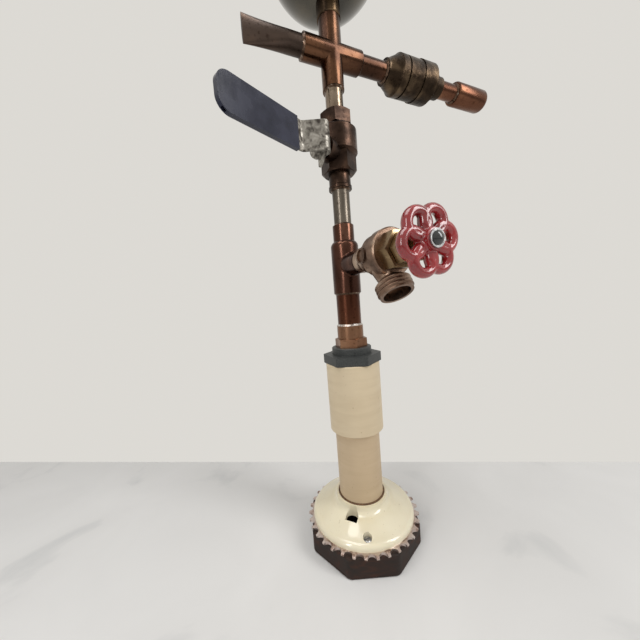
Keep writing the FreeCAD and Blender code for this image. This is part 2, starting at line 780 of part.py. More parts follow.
def copper_adapter():
    """Adapter: threaded end in the bushing, small hexagon, solder socket with an inner stop."""
    body = new_body("copper_adapter")
    hexagon(body, "adapter_hex", "adapter_hex_flats", "adapter_thread_length", "adapter_hex_height")
    top = "(adapter_thread_length + adapter_hex_height + adapter_socket_height)"
    stop = "(adapter_thread_length + adapter_stop_height)"
    corner_cut(body, "adapter_hex_corners", "adapter_hex_flats", "adapter_thread_length + adapter_hex_height")
    turn(body, "adapter_round_parts", [
        ("adapter_bore_radius", "0"),
        ("reducer_thread_radius - 1", "0"),
        ("reducer_thread_radius", "1"),
        ("reducer_thread_radius", "adapter_thread_length + 1"),
        ("adapter_socket_radius", "adapter_thread_length + 2"),
        ("adapter_socket_radius", top),
        ("adapter_bore_radius", top)])
    turn(body, "adapter_bores",
         [("0", "-1"), ("adapter_bore_radius", "-1"), ("adapter_bore_radius", stop),
          (LARGE_SOCKET, stop), (LARGE_SOCKET, f"{top} + 1"), ("0", f"{top} + 1")], cut=True)
    place(body, z=f"{STEP_TOP} - adapter_thread_length", rotation=Rotation(Vector(0, 0, 1), 20))
    return keep(body, "copper_adapter")


def tube(label, radius, start, finish, rotation=UP, height="0"):
    """A straight copper tube between two places measured along its own axis."""
    return turned_part(label, [ring(f"{radius} - tube_wall", radius, start, finish)],
                       z=height, rotation=rotation)


def branch_tee():
    """Reducing tee: large socket below, small neck above, small branch to the front."""
    body = new_body("branch_tee")
    turn(body, "tee_run", [
        ("0", TEE_BOTTOM),
        ("tee_body_radius", TEE_BOTTOM),
        ("tee_body_radius", TEE_SHOULDER, "6", "left"),
        ("tee_neck_radius", TEE_NECK_START),
        ("tee_neck_radius", TEE_TOP),
        ("0", TEE_TOP)])
    branch = new_sketch(body, "tee_branch_outline")
    draw_circle(branch, "0", BRANCH_HEIGHT, "tee_neck_radius")
    extrude(body, "tee_branch", branch, "branch_socket_end")
    radius = number("tee_body_radius")
    round_edges(body, "tee_junction", "branch_junction_round",
                lambda edge: -radius - 0.1 < edge.BoundBox.YMin and edge.BoundBox.YMax < -radius / 2
                and edge.Curve.TypeId != "Part::GeomLine")
    small_stop = f"({TEE_TOP} - socket_depth)"
    turn(body, "tee_run_bore", [
        ("0", f"{TEE_BOTTOM} - 1"),
        (LARGE_SOCKET, f"{TEE_BOTTOM} - 1"),
        (LARGE_SOCKET, f"{TEE_BOTTOM} + socket_depth + 4"),
        ("large_tube_radius - 1.5", f"{TEE_BOTTOM} + socket_depth + 4"),
        ("large_tube_radius - 1.5", f"{TEE_SHOULDER} - 2"),
        (SMALL_BORE, TEE_NECK_START),
        (SMALL_BORE, small_stop),
        (SMALL_SOCKET, small_stop),
        (SMALL_SOCKET, f"{TEE_TOP} + 1"),
        ("0", f"{TEE_TOP} + 1")], cut=True)
    for name, hole, depth in (("tee_branch_bore", SMALL_BORE, "branch_socket_end + 2"),
                              ("tee_branch_socket", SMALL_SOCKET, "socket_depth")):
        outline = new_sketch(body, f"{name}_outline")
        draw_circle(outline, "0", BRANCH_HEIGHT, hole)
        extrude(body, name, outline, depth, cut=True, start="branch_socket_end")
    place(body)
    return keep(body, "branch_tee")


def copper_cross():
    """Cross with four equal sockets: a leg below, an arm each side and a stub on top."""
    body = new_body("copper_cross")
    turn(body, "cross_upright", [
        ("0", "-cross_leg"), ("cross_radius", "-cross_leg"), ("cross_radius", "cross_leg / 2"),
        ("0", "cross_leg / 2")])
    arms = new_sketch(body, "cross_arm_outline", "YZ_Plane")
    draw_circle(arms, "0", "0", "cross_radius")
    arm = extrude(body, "cross_arms", arms, "cross_arm * 2")
    arm.Midplane = True
    upper = new_sketch(body, "cross_upper_outline", "XY_Plane")
    draw_circle(upper, "0", "0", "cross_radius")
    extrude(body, "cross_upper", upper, "cross_upper_length")
    stop = "(cross_arm - socket_depth)"
    turn(body, "cross_upright_bore", [
        ("0", "-cross_leg - 1"), (SMALL_SOCKET, "-cross_leg - 1"), (SMALL_SOCKET, "-cross_leg + socket_depth"),
        (SMALL_BORE, "-cross_leg + socket_depth"), (SMALL_BORE, "cross_upper_length - socket_depth"),
        (SMALL_SOCKET, "cross_upper_length - socket_depth"), (SMALL_SOCKET, "cross_upper_length + 1"),
        ("0", "cross_upper_length + 1")], cut=True)
    for name, hole, depth, start in (
            ("cross_arm_bore", SMALL_BORE, "cross_arm * 2 + 2", "cross_arm + 1"),
            ("cross_right_socket", SMALL_SOCKET, "socket_depth", "cross_arm"),
            ("cross_left_socket", SMALL_SOCKET, "socket_depth", f"-{stop}")):
        outline = new_sketch(body, f"{name}_outline", "YZ_Plane")
        draw_circle(outline, "0", "0", hole)
        extrude(body, name, outline, depth, cut=True, start=start)
    place(body, z=CROSS_HEIGHT)
    return keep(body, "copper_cross")



def drain_body():
    """Cast tap body, axis along the branch: inlet, chamber, flange, and a tilted outlet with a hose thread."""
    body = new_body("drain_body")
    turn(body, "tap_barrel", [
        ("0", "tap_inlet_start"),
        ("tap_inlet_radius", "tap_inlet_start"),
        ("tap_inlet_radius", "tap_inlet_start + 4", "22", "right"),
        ("tap_waist_radius", "tap_waist_end", "20", "right"),
        ("tap_chamber_radius", "tap_chamber_start"),
        ("tap_chamber_radius", "tap_flange_start - 1"),
        ("tap_flange_radius - tap_flange_edge", "tap_flange_start"),
        ("tap_flange_radius", "tap_flange_start + tap_flange_edge"),
        ("tap_flange_radius", "tap_flange_end - tap_flange_edge"),
        ("tap_flange_radius - tap_flange_edge", "tap_flange_end"),
        ("0", "tap_flange_end")])
    tilt = "90 - outlet_angle"
    thread_start = "(outlet_length - hose_thread_length)"
    pitch = "hose_thread_length / (hose_thread_ridges + 0.5)"
    spout = [("0", "0"), ("outlet_root_radius", "0"), ("outlet_root_radius", "outlet_root_end"),
             ("outlet_neck_radius", f"{thread_start} - 3"),
             ("hose_thread_radius - hose_thread_ridge", thread_start)]
    for ridge in range(int(SIZES["hose_thread_ridges"])):
        spout += [
            ("hose_thread_radius", f"{thread_start} + {pitch} * {ridge + 0.35}"),
            ("hose_thread_radius", f"{thread_start} + {pitch} * {ridge + 0.6}"),
            ("hose_thread_radius - hose_thread_ridge", f"{thread_start} + {pitch} * {ridge + 1}")]
    spout += [("hose_thread_radius - hose_thread_ridge", "outlet_length"), ("0", "outlet_length")]
    turn(body, "tap_spout", spout, origin="outlet_origin", tilt=tilt)
    side_boss = new_sketch(body, "side_boss_outline", "YZ_Plane")
    draw_circle(side_boss, "0", "boss_place", "boss_radius")
    extrude(body, "side_boss", side_boss, "tap_chamber_radius + boss_height", reverse=True)
    dish = new_sketch(body, "side_boss_dish_outline", "YZ_Plane")
    draw_circle(dish, "0", "boss_place", "boss_radius - 1.2")
    extrude(body, "side_boss_dish", dish, "boss_height", cut=True,
            start="-tap_chamber_radius - boss_height", reverse=True)
    turn(body, "tap_bores", [
        ("0", "tap_inlet_start - 1"),
        (SMALL_SOCKET, "tap_inlet_start - 1"),
        (SMALL_SOCKET, "tap_inlet_start + socket_depth"),
        ("tap_seat_radius", "tap_inlet_start + socket_depth"),
        ("tap_seat_radius", "tap_seat_start"),
        ("tap_cavity_radius", "tap_seat_start"),
        ("tap_cavity_radius", "tap_flange_end + 1"),
        ("0", "tap_flange_end + 1")], cut=True)
    turn(body, "bonnet_clearance", ring(
        "0", "bonnet_flats / sqrt(3) + soft_gap", "tap_flange_end", "bonnet_end + 1"), cut=True)
    turn(body, "outlet_bore", [
        ("0", "0"), ("outlet_bore_radius", "0"),
        ("outlet_bore_radius", "outlet_length - outlet_mouth_depth"),
        ("outlet_mouth_radius", "outlet_length - outlet_mouth_depth"),
        ("outlet_mouth_radius", "outlet_length + 1"), ("0", "outlet_length + 1")],
        cut=True, origin="outlet_origin", tilt=tilt)
    place(body, z=BRANCH_HEIGHT, rotation=FRONT)
    return keep(body, "drain_body")


def drain_bonnet():
    """Bonnet screwed into the tap body: spigot, six-sided collar and a threaded neck for the packing nut."""
    body = new_body("drain_bonnet")
    hexagon(body, "bonnet_hex", "bonnet_flats", "tap_flange_end", "bonnet_end - tap_flange_end")
    corner_cut(body, "bonnet_corners", "bonnet_flats", "bonnet_end")
    turn(body, "bonnet_round_parts", [
        ("tap_stem_radius", "bonnet_spigot_start"),
        ("tap_cavity_radius - fit_clearance", "bonnet_spigot_start"),
        ("tap_cavity_radius - fit_clearance", "tap_flange_end + 1"),
        ("bonnet_neck_radius", "bonnet_end - 1"),
        ("bonnet_neck_radius", "bonnet_neck_end"),
        ("tap_stem_radius", "bonnet_neck_end")])
    turn(body, "bonnet_bores", [
        ("0", "bonnet_spigot_start - 1"),
        ("tap_stem_collar_radius + soft_gap", "bonnet_spigot_start - 1"),
        ("tap_stem_collar_radius + soft_gap", "tap_stem_collar_start + tap_stem_collar_length + stem_travel + 1"),
        ("tap_stem_radius + running_clearance",
         "tap_stem_collar_start + tap_stem_collar_length + stem_travel + 1"),
        ("tap_stem_radius + running_clearance", "bonnet_neck_end + 1"),
        ("0", "bonnet_neck_end + 1")], cut=True)
    place(body, z=BRANCH_HEIGHT, rotation=FRONT)
    return keep(body, "drain_bonnet")


def packing():
    """Packing ring round the stem and the nut that squeezes it."""
    turned_part("stem_packing", [ring(
        "tap_stem_radius + running_clearance", "bonnet_neck_radius", "bonnet_neck_end",
        "bonnet_neck_end + packing_height")], z=BRANCH_HEIGHT, rotation=FRONT)
    body = new_body("packing_nut")
    start = "(bonnet_end + 0.5)"
    hexagon(body, "packing_nut_block", "packing_nut_flats", start, f"packing_nut_end - {start}")
    corner_cut(body, "packing_nut_corners", "packing_nut_flats", "packing_nut_end")
    turn(body, "packing_nut_bores", [
        ("0", f"{start} - 1"),
        ("bonnet_neck_radius + fit_clearance", f"{start} - 1"),
        ("bonnet_neck_radius + fit_clearance", "bonnet_neck_end + packing_height"),
        ("tap_stem_radius + running_clearance", "bonnet_neck_end + packing_height"),
        ("tap_stem_radius + running_clearance", "packing_nut_end + 1"),
        ("0", "packing_nut_end + 1")], cut=True)
    place(body, z=BRANCH_HEIGHT, rotation=FRONT)
    keep(body, "packing_nut")


def tap_stem_parts():
    """Stem with its stop collar, and the washer on its inner end that closes on the seat."""
    washer_start = "(tap_seat_start + soft_gap)"
    stem_start = f"({washer_start} + seat_washer_thickness + soft_gap)"
    turned_part("drain_stem", [[
        ("seat_washer_stem_radius + running_clearance", stem_start),
        ("tap_stem_collar_radius", stem_start),
        ("tap_stem_collar_radius", "tap_stem_collar_start"),
        ("tap_stem_radius", "tap_stem_collar_start"),
        ("tap_stem_radius", "wheel_rear + wheel_depth"),
        ("wheel_screw_shank_radius + fit_clearance", "wheel_rear + wheel_depth"),
        ("wheel_screw_shank_radius + fit_clearance", "wheel_rear + wheel_depth - wheel_screw_length"),
        ("0", "wheel_rear + wheel_depth - wheel_screw_length"),
        ("0", f"{stem_start} + seat_washer_shank"),
        ("seat_washer_stem_radius + running_clearance", f"{stem_start} + seat_washer_shank")]],
        z=BRANCH_HEIGHT, rotation=FRONT)
    turned_part("seat_washer", [[
        ("0", washer_start),
        ("seat_washer_radius", washer_start),
        ("seat_washer_radius", f"{washer_start} + seat_washer_thickness"),
        ("seat_washer_stem_radius", f"{washer_start} + seat_washer_thickness"),
        ("seat_washer_stem_radius", f"{stem_start} + seat_washer_shank - soft_gap"),
        ("0", f"{stem_start} + seat_washer_shank - soft_gap")]], z=BRANCH_HEIGHT, rotation=FRONT)


def lobed_outline(sketch, inset="0"):
    """Six rim lobes joined by small waists, each arc meeting the next tangentially."""
    lobe = f"(wheel_lobe_radius - {inset})"
    waist = f"(wheel_waist_radius + {inset})"
    reach_between = "(wheel_lobe_centre * sin(30 deg))"
    waist_centre = (f"(wheel_lobe_centre * cos(30 deg) + sqrt(pow(wheel_lobe_radius + wheel_waist_radius; 2)"
                    f" - pow({reach_between}; 2)))")
    share = f"({lobe} / (wheel_lobe_radius + wheel_waist_radius))"
    corners = []
    for lobe_count in range(6):
        for side in (-1, 1):
            lobe_angle = f"({60 * lobe_count} deg)"
            waist_angle = f"({60 * lobe_count + 30 * side} deg)"
            x = (f"(wheel_lobe_centre * cos({lobe_angle}) * (1 - {share})"
                 f" + {waist_centre} * cos({waist_angle}) * {share})")
            y = (f"(wheel_lobe_centre * sin({lobe_angle}) * (1 - {share})"
                 f" + {waist_centre} * sin({waist_angle}) * {share})")
            corners.append((x, y, lobe, "left") if side < 0 else (x, y, waist, "right"))
    draw_outline(sketch, corners)


def handwheel():
    """Cast handwheel: lobed rim hollowed behind, six tapered holes through the web, hub and bore."""
    body = new_body("handwheel")
    rim = new_sketch(body, "wheel_rim_outline", "XY_Plane")
    lobed_outline(rim)
    extrude(body, "wheel_rim", rim, "wheel_depth")
    depth = number("wheel_depth")
    round_edges(body, "wheel_front_edge", "wheel_front_round", lambda edge: is_at(edge, depth))
    round_edges(body, "wheel_rear_edge", "wheel_rear_round", lambda edge: is_at(edge, 0))
    hollow = new_sketch(body, "wheel_hollow_outline", "XY_Plane")
    lobed_outline(hollow, "wheel_rim_wall")
    draw_circle(hollow, "0", "0", "wheel_hub_radius")
    extrude(body, "wheel_hollow", hollow, "wheel_depth - wheel_web + 1", cut=True,
            start="wheel_depth - wheel_web")
    hole = new_sketch(body, "wheel_hole_outline", "XY_Plane")
    slope = ("(wheel_hole_outer_radius - wheel_hole_inner_radius)"
             " / (wheel_hole_outer_place - wheel_hole_inner_place)")
    touch = f"sqrt(1 - pow({slope}; 2))"
    draw_outline(hole, [
        (f"wheel_hole_outer_place - wheel_hole_outer_radius * {slope}", f"-wheel_hole_outer_radius * {touch}",
         "wheel_hole_outer_radius", "left"),
        ("wheel_hole_outer_place + wheel_hole_outer_radius", "0", "wheel_hole_outer_radius", "left"),
        (f"wheel_hole_outer_place - wheel_hole_outer_radius * {slope}", f"wheel_hole_outer_radius * {touch}"),
        (f"wheel_hole_inner_place - wheel_hole_inner_radius * {slope}", f"wheel_hole_inner_radius * {touch}",
         "wheel_hole_inner_radius", "left"),
        (f"wheel_hole_inner_place - wheel_hole_inner_radius * {slope}", f"-wheel_hole_inner_radius * {touch}")])
    window = extrude(body, "wheel_hole", hole, "wheel_depth + 2", cut=True, start="wheel_depth + 1")
    polar(body, "wheel_holes", window, "wheel_lobes")
    turn(body, "wheel_hub", [
        ("0", "0"), ("wheel_hub_radius", "0"), ("wheel_hub_radius", "wheel_depth + wheel_hub_rise - 0.6"),
        ("wheel_hub_radius - 0.6", "wheel_depth + wheel_hub_rise"), ("0", "wheel_depth + wheel_hub_rise")])
    turn(body, "wheel_bore", ring("0", "tap_stem_radius + fit_clearance", "-1",
                                  "wheel_depth + wheel_hub_rise + 1"), cut=True)
    place(body, y="-wheel_rear", z=BRANCH_HEIGHT,
          rotation=FRONT.multiply(Rotation(Vector(0, 0, 1), number("wheel_turn"))))
    return keep(body, "handwheel")


def handwheel_fixings():
    """Washer and domed screw that hold the handwheel to the stem."""
    hub_front = "(wheel_rear + wheel_depth + wheel_hub_rise)"
    turned_part("handwheel_washer", [ring(
        "wheel_screw_shank_radius + fit_clearance", "wheel_washer_radius", hub_front,
        f"{hub_front} + wheel_washer_thickness")], z=BRANCH_HEIGHT, rotation=FRONT)
    head = f"({hub_front} + wheel_washer_thickness)"
    dome = ("(pow(wheel_screw_head_radius; 2) + pow(wheel_screw_head_height; 2))"
            " / (2 * wheel_screw_head_height)")
    turned_part("handwheel_screw", [[
        ("0", "wheel_rear + wheel_depth - wheel_screw_length + 1"),
        ("wheel_screw_shank_radius", "wheel_rear + wheel_depth - wheel_screw_length + 1"),
        ("wheel_screw_shank_radius", head),
        ("wheel_screw_head_radius", head),
        ("wheel_screw_head_radius", f"{head} + wheel_screw_head_edge", dome, "left"),
        ("0", f"{head} + wheel_screw_head_edge + wheel_screw_head_height")]], z=BRANCH_HEIGHT, rotation=FRONT)


def valve_body():
    """Ball valve body: solder neck with an end ring, hexagon, barrel and the stem boss on its side."""
    body = new_body("ball_valve_body")
    hexagon(body, "valve_hex", "valve_flats", VALVE_NECK_TOP, f"{VALVE_BARREL_BOTTOM} - {VALVE_NECK_TOP}",
            corner_on_y=True)
    turn(body, "valve_hex_corners", [
        ("valve_flats / 2 - 0.5", f"{VALVE_NECK_TOP} - 1"),
        ("valve_flats / 2 - 0.5", VALVE_NECK_TOP),
        ("valve_flats / sqrt(3) + 1", f"{VALVE_NECK_TOP} + 3"),
        ("valve_flats / sqrt(3) + 1", f"{VALVE_NECK_TOP} - 1")], cut=True)
    turn(body, "valve_round_parts", [
        ("0", VALVE_BOTTOM),
        ("valve_ring_radius", VALVE_BOTTOM),
        ("valve_ring_radius", f"{VALVE_BOTTOM} + valve_ring_height"),
        ("valve_neck_radius", f"{VALVE_BOTTOM} + valve_ring_height + 0.8"),
        ("valve_neck_radius", f"{VALVE_NECK_TOP} + 1"),
        ("valve_flats / 2", f"{VALVE_BARREL_BOTTOM} - 2"),
        ("valve_barrel_radius", VALVE_BARREL_BOTTOM),
        ("valve_barrel_radius", VALVE_BARREL_TOP),
        ("0", VALVE_BARREL_TOP)])
    boss = new_sketch(body, "stem_boss_outline", "YZ_Plane")
    boss.AttachmentOffset = FreeCAD.Placement(Vector(), Rotation(Vector(0, 1, 0), number("stem_turn")))
    draw_circle(boss, "0", BALL_HEIGHT, "valve_boss_radius")
    extrude(body, "stem_boss", boss, "valve_boss_end")
    turn(body, "valve_bores", [
        ("0", f"{VALVE_BOTTOM} - 1"),
        (SMALL_SOCKET, f"{VALVE_BOTTOM} - 1"),
        (SMALL_SOCKET, f"{VALVE_BOTTOM} + socket_depth"),
        ("valve_ball_bore", f"{VALVE_BOTTOM} + socket_depth"),
        ("valve_ball_bore", VALVE_CHAMBER_BOTTOM),
        ("valve_chamber_radius", VALVE_CHAMBER_BOTTOM),
        ("valve_chamber_radius", f"{VALVE_JOINT} - 1.5"),
        ("valve_thread_radius + fit_clearance", f"{VALVE_JOINT} - 1.5"),
        ("valve_thread_radius + fit_clearance", f"{VALVE_BARREL_TOP} + 1"),
        ("0", f"{VALVE_BARREL_TOP} + 1")], cut=True)
    stem_hole = new_sketch(body, "stem_hole_outline", "YZ_Plane")
    stem_hole.AttachmentOffset = FreeCAD.Placement(Vector(), Rotation(Vector(0, 1, 0), number("stem_turn")))
    draw_circle(stem_hole, "0", BALL_HEIGHT, "ball_stem_radius + running_clearance")
    hole = extrude(body, "stem_hole", stem_hole, "valve_boss_end + 1", cut=True)
    hole.Reversed = True
    place(body)
    return keep(body, "ball_valve_body")


VALVE_CHAMBER_BOTTOM = f"({BALL_HEIGHT} - valve_ball_radius - 2)"
SEAT_REACH = "(sqrt(pow(valve_ball_radius; 2) - pow(valve_seat_bore; 2)) + soft_gap)"


def valve_end():
    """End piece screwed into the barrel, with its cone and hexagon."""
    body = new_body("ball_valve_end")
    hexagon(body, "valve_end_hex", "valve_end_flats", VALVE_CONE_TOP, f"{VALVE_TOP} - {VALVE_CONE_TOP}")
    corner_cut(body, "valve_end_corners", "valve_end_flats", VALVE_TOP, "2")
    turn(body, "valve_end_round_parts", [
        ("valve_ball_bore", VALVE_JOINT),
        ("valve_thread_radius", VALVE_JOINT),
        ("valve_thread_radius", VALVE_BARREL_TOP),
        ("valve_barrel_radius - 0.5", VALVE_BARREL_TOP),
        ("valve_cone_radius", VALVE_CONE_TOP),
        ("valve_cone_radius - 1", f"{VALVE_CONE_TOP} + 1"),
        ("valve_ball_bore", f"{VALVE_CONE_TOP} + 1")])
    turn(body, "valve_end_bores", [
        ("0", f"{VALVE_JOINT} - 1"),
        ("valve_ball_bore", f"{VALVE_JOINT} - 1"),
        ("valve_ball_bore", f"{VALVE_TOP} - socket_depth"),
        (SMALL_SOCKET, f"{VALVE_TOP} - socket_depth"),
        (SMALL_SOCKET, f"{VALVE_TOP} + 1"),
        ("0", f"{VALVE_TOP} + 1")], cut=True)
    place(body)
    return keep(body, "ball_valve_end")


def ball_and_stem():
    """Ball with a cross bore (shut at rest) and key slot, seats, stem, gland nut and lever nut."""
    stem_frame = Rotation(Vector(0, 0, 1), number("stem_turn")).multiply(RIGHT)
    turned_part("lower_ball_seat", [ring(
        "valve_seat_bore", "valve_chamber_radius - 0.1", VALVE_CHAMBER_BOTTOM,
        f"{BALL_HEIGHT} - {SEAT_REACH}")])
    turned_part("upper_ball_seat", [ring(
        "valve_seat_bore", "valve_chamber_radius - 0.1", f"{BALL_HEIGHT} + {SEAT_REACH}",
        VALVE_JOINT)])
    body = new_body("valve_ball")
    turn(body, "ball_sphere", [
        ("0", "-valve_ball_radius", "valve_ball_radius", "left"),
        ("valve_ball_radius", "0", "valve_ball_radius", "left"),
        ("0", "valve_ball_radius")])
    bore = new_sketch(body, "ball_bore_outline")
    draw_circle(bore, "0", "0", "valve_ball_bore")
    through = extrude(body, "ball_bore", bore, "valve_ball_radius * 2 + 2", cut=True)
    through.Midplane = True
    slot = new_sketch(body, "ball_slot_outline", "XY_Plane")
    draw_outline(slot, [
        ("-valve_ball_radius", "-ball_key_width / 2 - fit_clearance"),
        ("valve_ball_radius", "-ball_key_width / 2 - fit_clearance"),
        ("valve_ball_radius", "ball_key_width / 2 + fit_clearance"),
        ("-valve_ball_radius", "ball_key_width / 2 + fit_clearance")])
    extrude(body, "ball_slot", slot, "valve_ball_radius + 1 - ball_stem_inner + fit_clearance", cut=True,
            start="valve_ball_radius + 1")
    place(body, z=BALL_HEIGHT, rotation=stem_frame)
    keep(body, "valve_ball")
    body = new_body("ball_stem")
    turn(body, "stem_rod", [
        ("0", "ball_stem_inner"),
        ("ball_stem_radius", "ball_stem_inner"),
        ("ball_stem_radius", f"{LEVER_NUT_TOP} + 1"),
        ("0", f"{LEVER_NUT_TOP} + 1")])
    for side in (1, -1):
        shoulder = new_sketch(body, f"stem_key_side_{side + 1}", "XY_Plane")
        near = f"{side} * ball_key_width / 2"
        far = f"{side} * (ball_stem_radius + 1)"
        draw_outline(shoulder, [
            ("-ball_stem_radius - 1", near), ("ball_stem_radius + 1", near),
            ("ball_stem_radius + 1", far), ("-ball_stem_radius - 1", far)])
        extrude(body, f"stem_key_cut_{side + 1}", shoulder,
                "valve_ball_radius + soft_gap - ball_stem_inner + 1", cut=True,
                start="valve_ball_radius + soft_gap")
    place(body, z=BALL_HEIGHT, rotation=stem_frame)
    keep(body, "ball_stem")
    hex_nut("gland_nut", "gland_nut_flats", "gland_nut_end - valve_boss_end", "ball_stem_radius",
            x="valve_boss_end * cos(stem_turn * 1 deg)", y="valve_boss_end * sin(stem_turn * 1 deg)",
            z=BALL_HEIGHT, rotation=stem_frame)
    lever_face = "(lever_inner_face + lever_thickness)"
    hex_nut("lever_nut", "lever_nut_flats", "lever_nut_height", "ball_stem_radius",
            x=f"{lever_face} * cos(stem_turn * 1 deg)", y=f"{lever_face} * sin(stem_turn * 1 deg)",
            z=BALL_HEIGHT, rotation=stem_frame)


LEVER_NUT_TOP = "(lever_inner_face + lever_thickness + lever_nut_height)"


LEVER_TURN = "(lever_fold_angle * 1 deg)"
GRIP_TURN = "((lever_fold_angle - lever_bend_angle) * 1 deg)"
LEVER_OUTER_FACE = "(lever_inner_face + lever_thickness)"
FOLD_CENTRE = ("lever_hub_front", f"({LEVER_OUTER_FACE} + lever_fold_radius)")


def off_fold(radius, along="0"):
    """A point on the lever's side view, out from the fold's centre and along the front limb."""
    return (f"{FOLD_CENTRE[0]} + ({radius}) * sin({LEVER_TURN}) + ({along}) * cos({LEVER_TURN})",
            f"{FOLD_CENTRE[1]} - ({radius}) * cos({LEVER_TURN}) + ({along}) * sin({LEVER_TURN})")


def off_bend(radius, turned, along="0"):
    """A point on the lever's side view, back from the bend's centre and along the grip."""
    centre_y, centre_z = off_fold("lever_fold_radius + lever_thickness + lever_bend_radius", "lever_front_length")
    return (f"{centre_y} - ({radius}) * sin({turned}) + ({along}) * cos({turned})",
            f"{centre_z} + ({radius}) * cos({turned}) + ({along}) * sin({turned})")


def grip_strip(sketch, start, finish, grow="0"):
    """Side view of the lever's grip between two distances from its bend, grown on both faces."""
    near = f"lever_bend_radius - {grow}"
    far = f"lever_bend_radius + lever_thickness + {grow}"
    draw_outline(sketch, [
        off_bend(near, GRIP_TURN, start), off_bend(near, GRIP_TURN, finish),
        off_bend(far, GRIP_TURN, finish), off_bend(far, GRIP_TURN, start)])


def lever_parts():
    """Steel lever folded back over its hub plate, a front limb, then one bend to the grip in its sleeve."""
    stem_frame = Rotation(Vector(0, 0, 1), number("stem_turn")).multiply(RIGHT)
    inner_bend = "lever_bend_radius"
    outer_bend = "(lever_bend_radius + lever_thickness)"
    outer_fold = "(lever_fold_radius + lever_thickness)"
    body = new_body("valve_lever")
    sketch = new_sketch(body, "lever_side", "YZ_Plane")
    draw_outline(sketch, [
        ("-lever_hub_back", "lever_inner_face"),
        ("lever_hub_front", "lever_inner_face", outer_fold, "left"),
        off_fold(outer_fold),
        (*off_bend(inner_bend, LEVER_TURN), inner_bend, "right"),
        off_bend(inner_bend, GRIP_TURN),
        off_bend(inner_bend, GRIP_TURN, "lever_length"),
        off_bend(outer_bend, GRIP_TURN, "lever_length"),
        (*off_bend(outer_bend, GRIP_TURN), outer_bend, "left"),
        off_bend(outer_bend, LEVER_TURN),
        (*off_fold("lever_fold_radius"), "lever_fold_radius", "right"),
        ("lever_hub_front", LEVER_OUTER_FACE),
        ("-lever_hub_back", LEVER_OUTER_FACE)])
    strip = extrude(body, "lever_strip", sketch, "lever_width")
    strip.Midplane = True
    half = number("lever_width") / 2
    thickness = number("lever_thickness")
    round_edges(body, "lever_corners", "lever_tip_round",
                lambda edge: abs(abs(edge.CenterOfMass.x) - half) < 0.01 and abs(edge.Length - thickness) < 0.01)
    tab = new_sketch(body, "stop_tab_outline", "XY_Plane")
    tab_start = "(lever_tip_round - lever_hub_back)"
    draw_outline(tab, [
        ("lever_width / 2 - lever_thickness", tab_start),
        ("lever_width / 2 + lever_stop_drop", tab_start),
        ("lever_width / 2 + lever_stop_drop", f"{tab_start} + lever_stop_tip"),
        ("lever_width / 2 - lever_thickness", f"{tab_start} + lever_stop_root")])
    extrude(body, "stop_tab", tab, "lever_thickness", start="lever_inner_face")
    hole = new_sketch(body, "lever_hole_outline", "XY_Plane")
    draw_circle(hole, "0", "0", "ball_stem_radius + fit_clearance")
    extrude(body, "lever_hole", hole, "lever_thickness + 2", cut=True, start=f"{LEVER_OUTER_FACE} + 1")
    place(body, z=BALL_HEIGHT, rotation=stem_frame)
    keep(body, "valve_lever")
    body = new_body("lever_sleeve")
    skin = new_sketch(body, "sleeve_side", "YZ_Plane")
    grip_strip(skin, "sleeve_bare_length", "lever_length + sleeve_tip_wall", "sleeve_wall")
    coat = extrude(body, "sleeve_coat", skin, "lever_width + 2 * sleeve_wall")
    coat.Midplane = True
    coat_half = half + number("sleeve_wall")
    coat_thickness = thickness + 2 * number("sleeve_wall")
    coat_end = number(off_bend(inner_bend, GRIP_TURN, "lever_length / 2")[1])
    round_edges(body, "sleeve_corners", "sleeve_tip_round",
                lambda edge: abs(abs(edge.CenterOfMass.x) - coat_half) < 0.01
                and abs(edge.Length - coat_thickness) < 0.01
                and edge.CenterOfMass.z > coat_end)
    inside = new_sketch(body, "sleeve_inside", "YZ_Plane")
    grip_strip(inside, "sleeve_bare_length - 1", "lever_length + fit_clearance", "fit_clearance")
    pocket = extrude(body, "sleeve_pocket", inside, "lever_width + 2 * fit_clearance", cut=True)
    pocket.Midplane = True
    place(body, z=BALL_HEIGHT, rotation=stem_frame)
    keep(body, "lever_sleeve")


def left_arm():
    """Half-inch tube squashed flat at its open end: oval sections lofted from the round tube."""
    stages = (("flat_start", "small_tube_radius", "small_tube_radius"),
              ("flat_middle", "flat_middle_height / 2", "flat_middle_width / 2"),
              ("left_arm_end", "flat_mouth_height / 2", "flat_mouth_gap / 2 + tube_wall"))
    solids = []
    for name, inset in (("outer", "0"), ("inner", "tube_wall")):
        rings = []
        for count, (along, major, minor) in enumerate(stages):
            oval = doc.addObject("Part::Ellipse", f"left_arm_{name}_oval_{count}")
            bind(oval, "MajorRadius", f"{major} - {inset}")
            bind(oval, "MinorRadius", f"{minor} - {inset}")
            bind(oval, "Placement.Base.z", along)
            rings.append(oval)
        loft = doc.addObject("Part::Loft", f"left_arm_{name}_loft")
        loft.Sections = rings
        loft.Solid = True
        solids.append(loft)
    flat = doc.addObject("Part::Cut", "left_arm_flat")
    flat.Base, flat.Tool = solids
    straight = doc.addObject("Part::Cylinder", "left_arm_round")
    bore = doc.addObject("Part::Cylinder", "left_arm_bore")
    for cylinder, radius in ((straight, "small_tube_radius"), (bore, "small_tube_radius - tube_wall")):
        bind(cylinder, "Radius", radius)
        bind(cylinder, "Height", "flat_start - cross_arm + socket_depth")
        bind(cylinder, "Placement.Base.z", "cross_arm - socket_depth")
    tube_wall = doc.addObject("Part::Cut", "left_arm_straight")
    tube_wall.Base, tube_wall.Tool = straight, bore
    arm = doc.addObject("Part::Fuse", "left_arm_tube")
    arm.Base, arm.Tool = tube_wall, flat
    place(arm, z=CROSS_HEIGHT, rotation=LEFT)
    return keep(arm, "left_arm_tube")


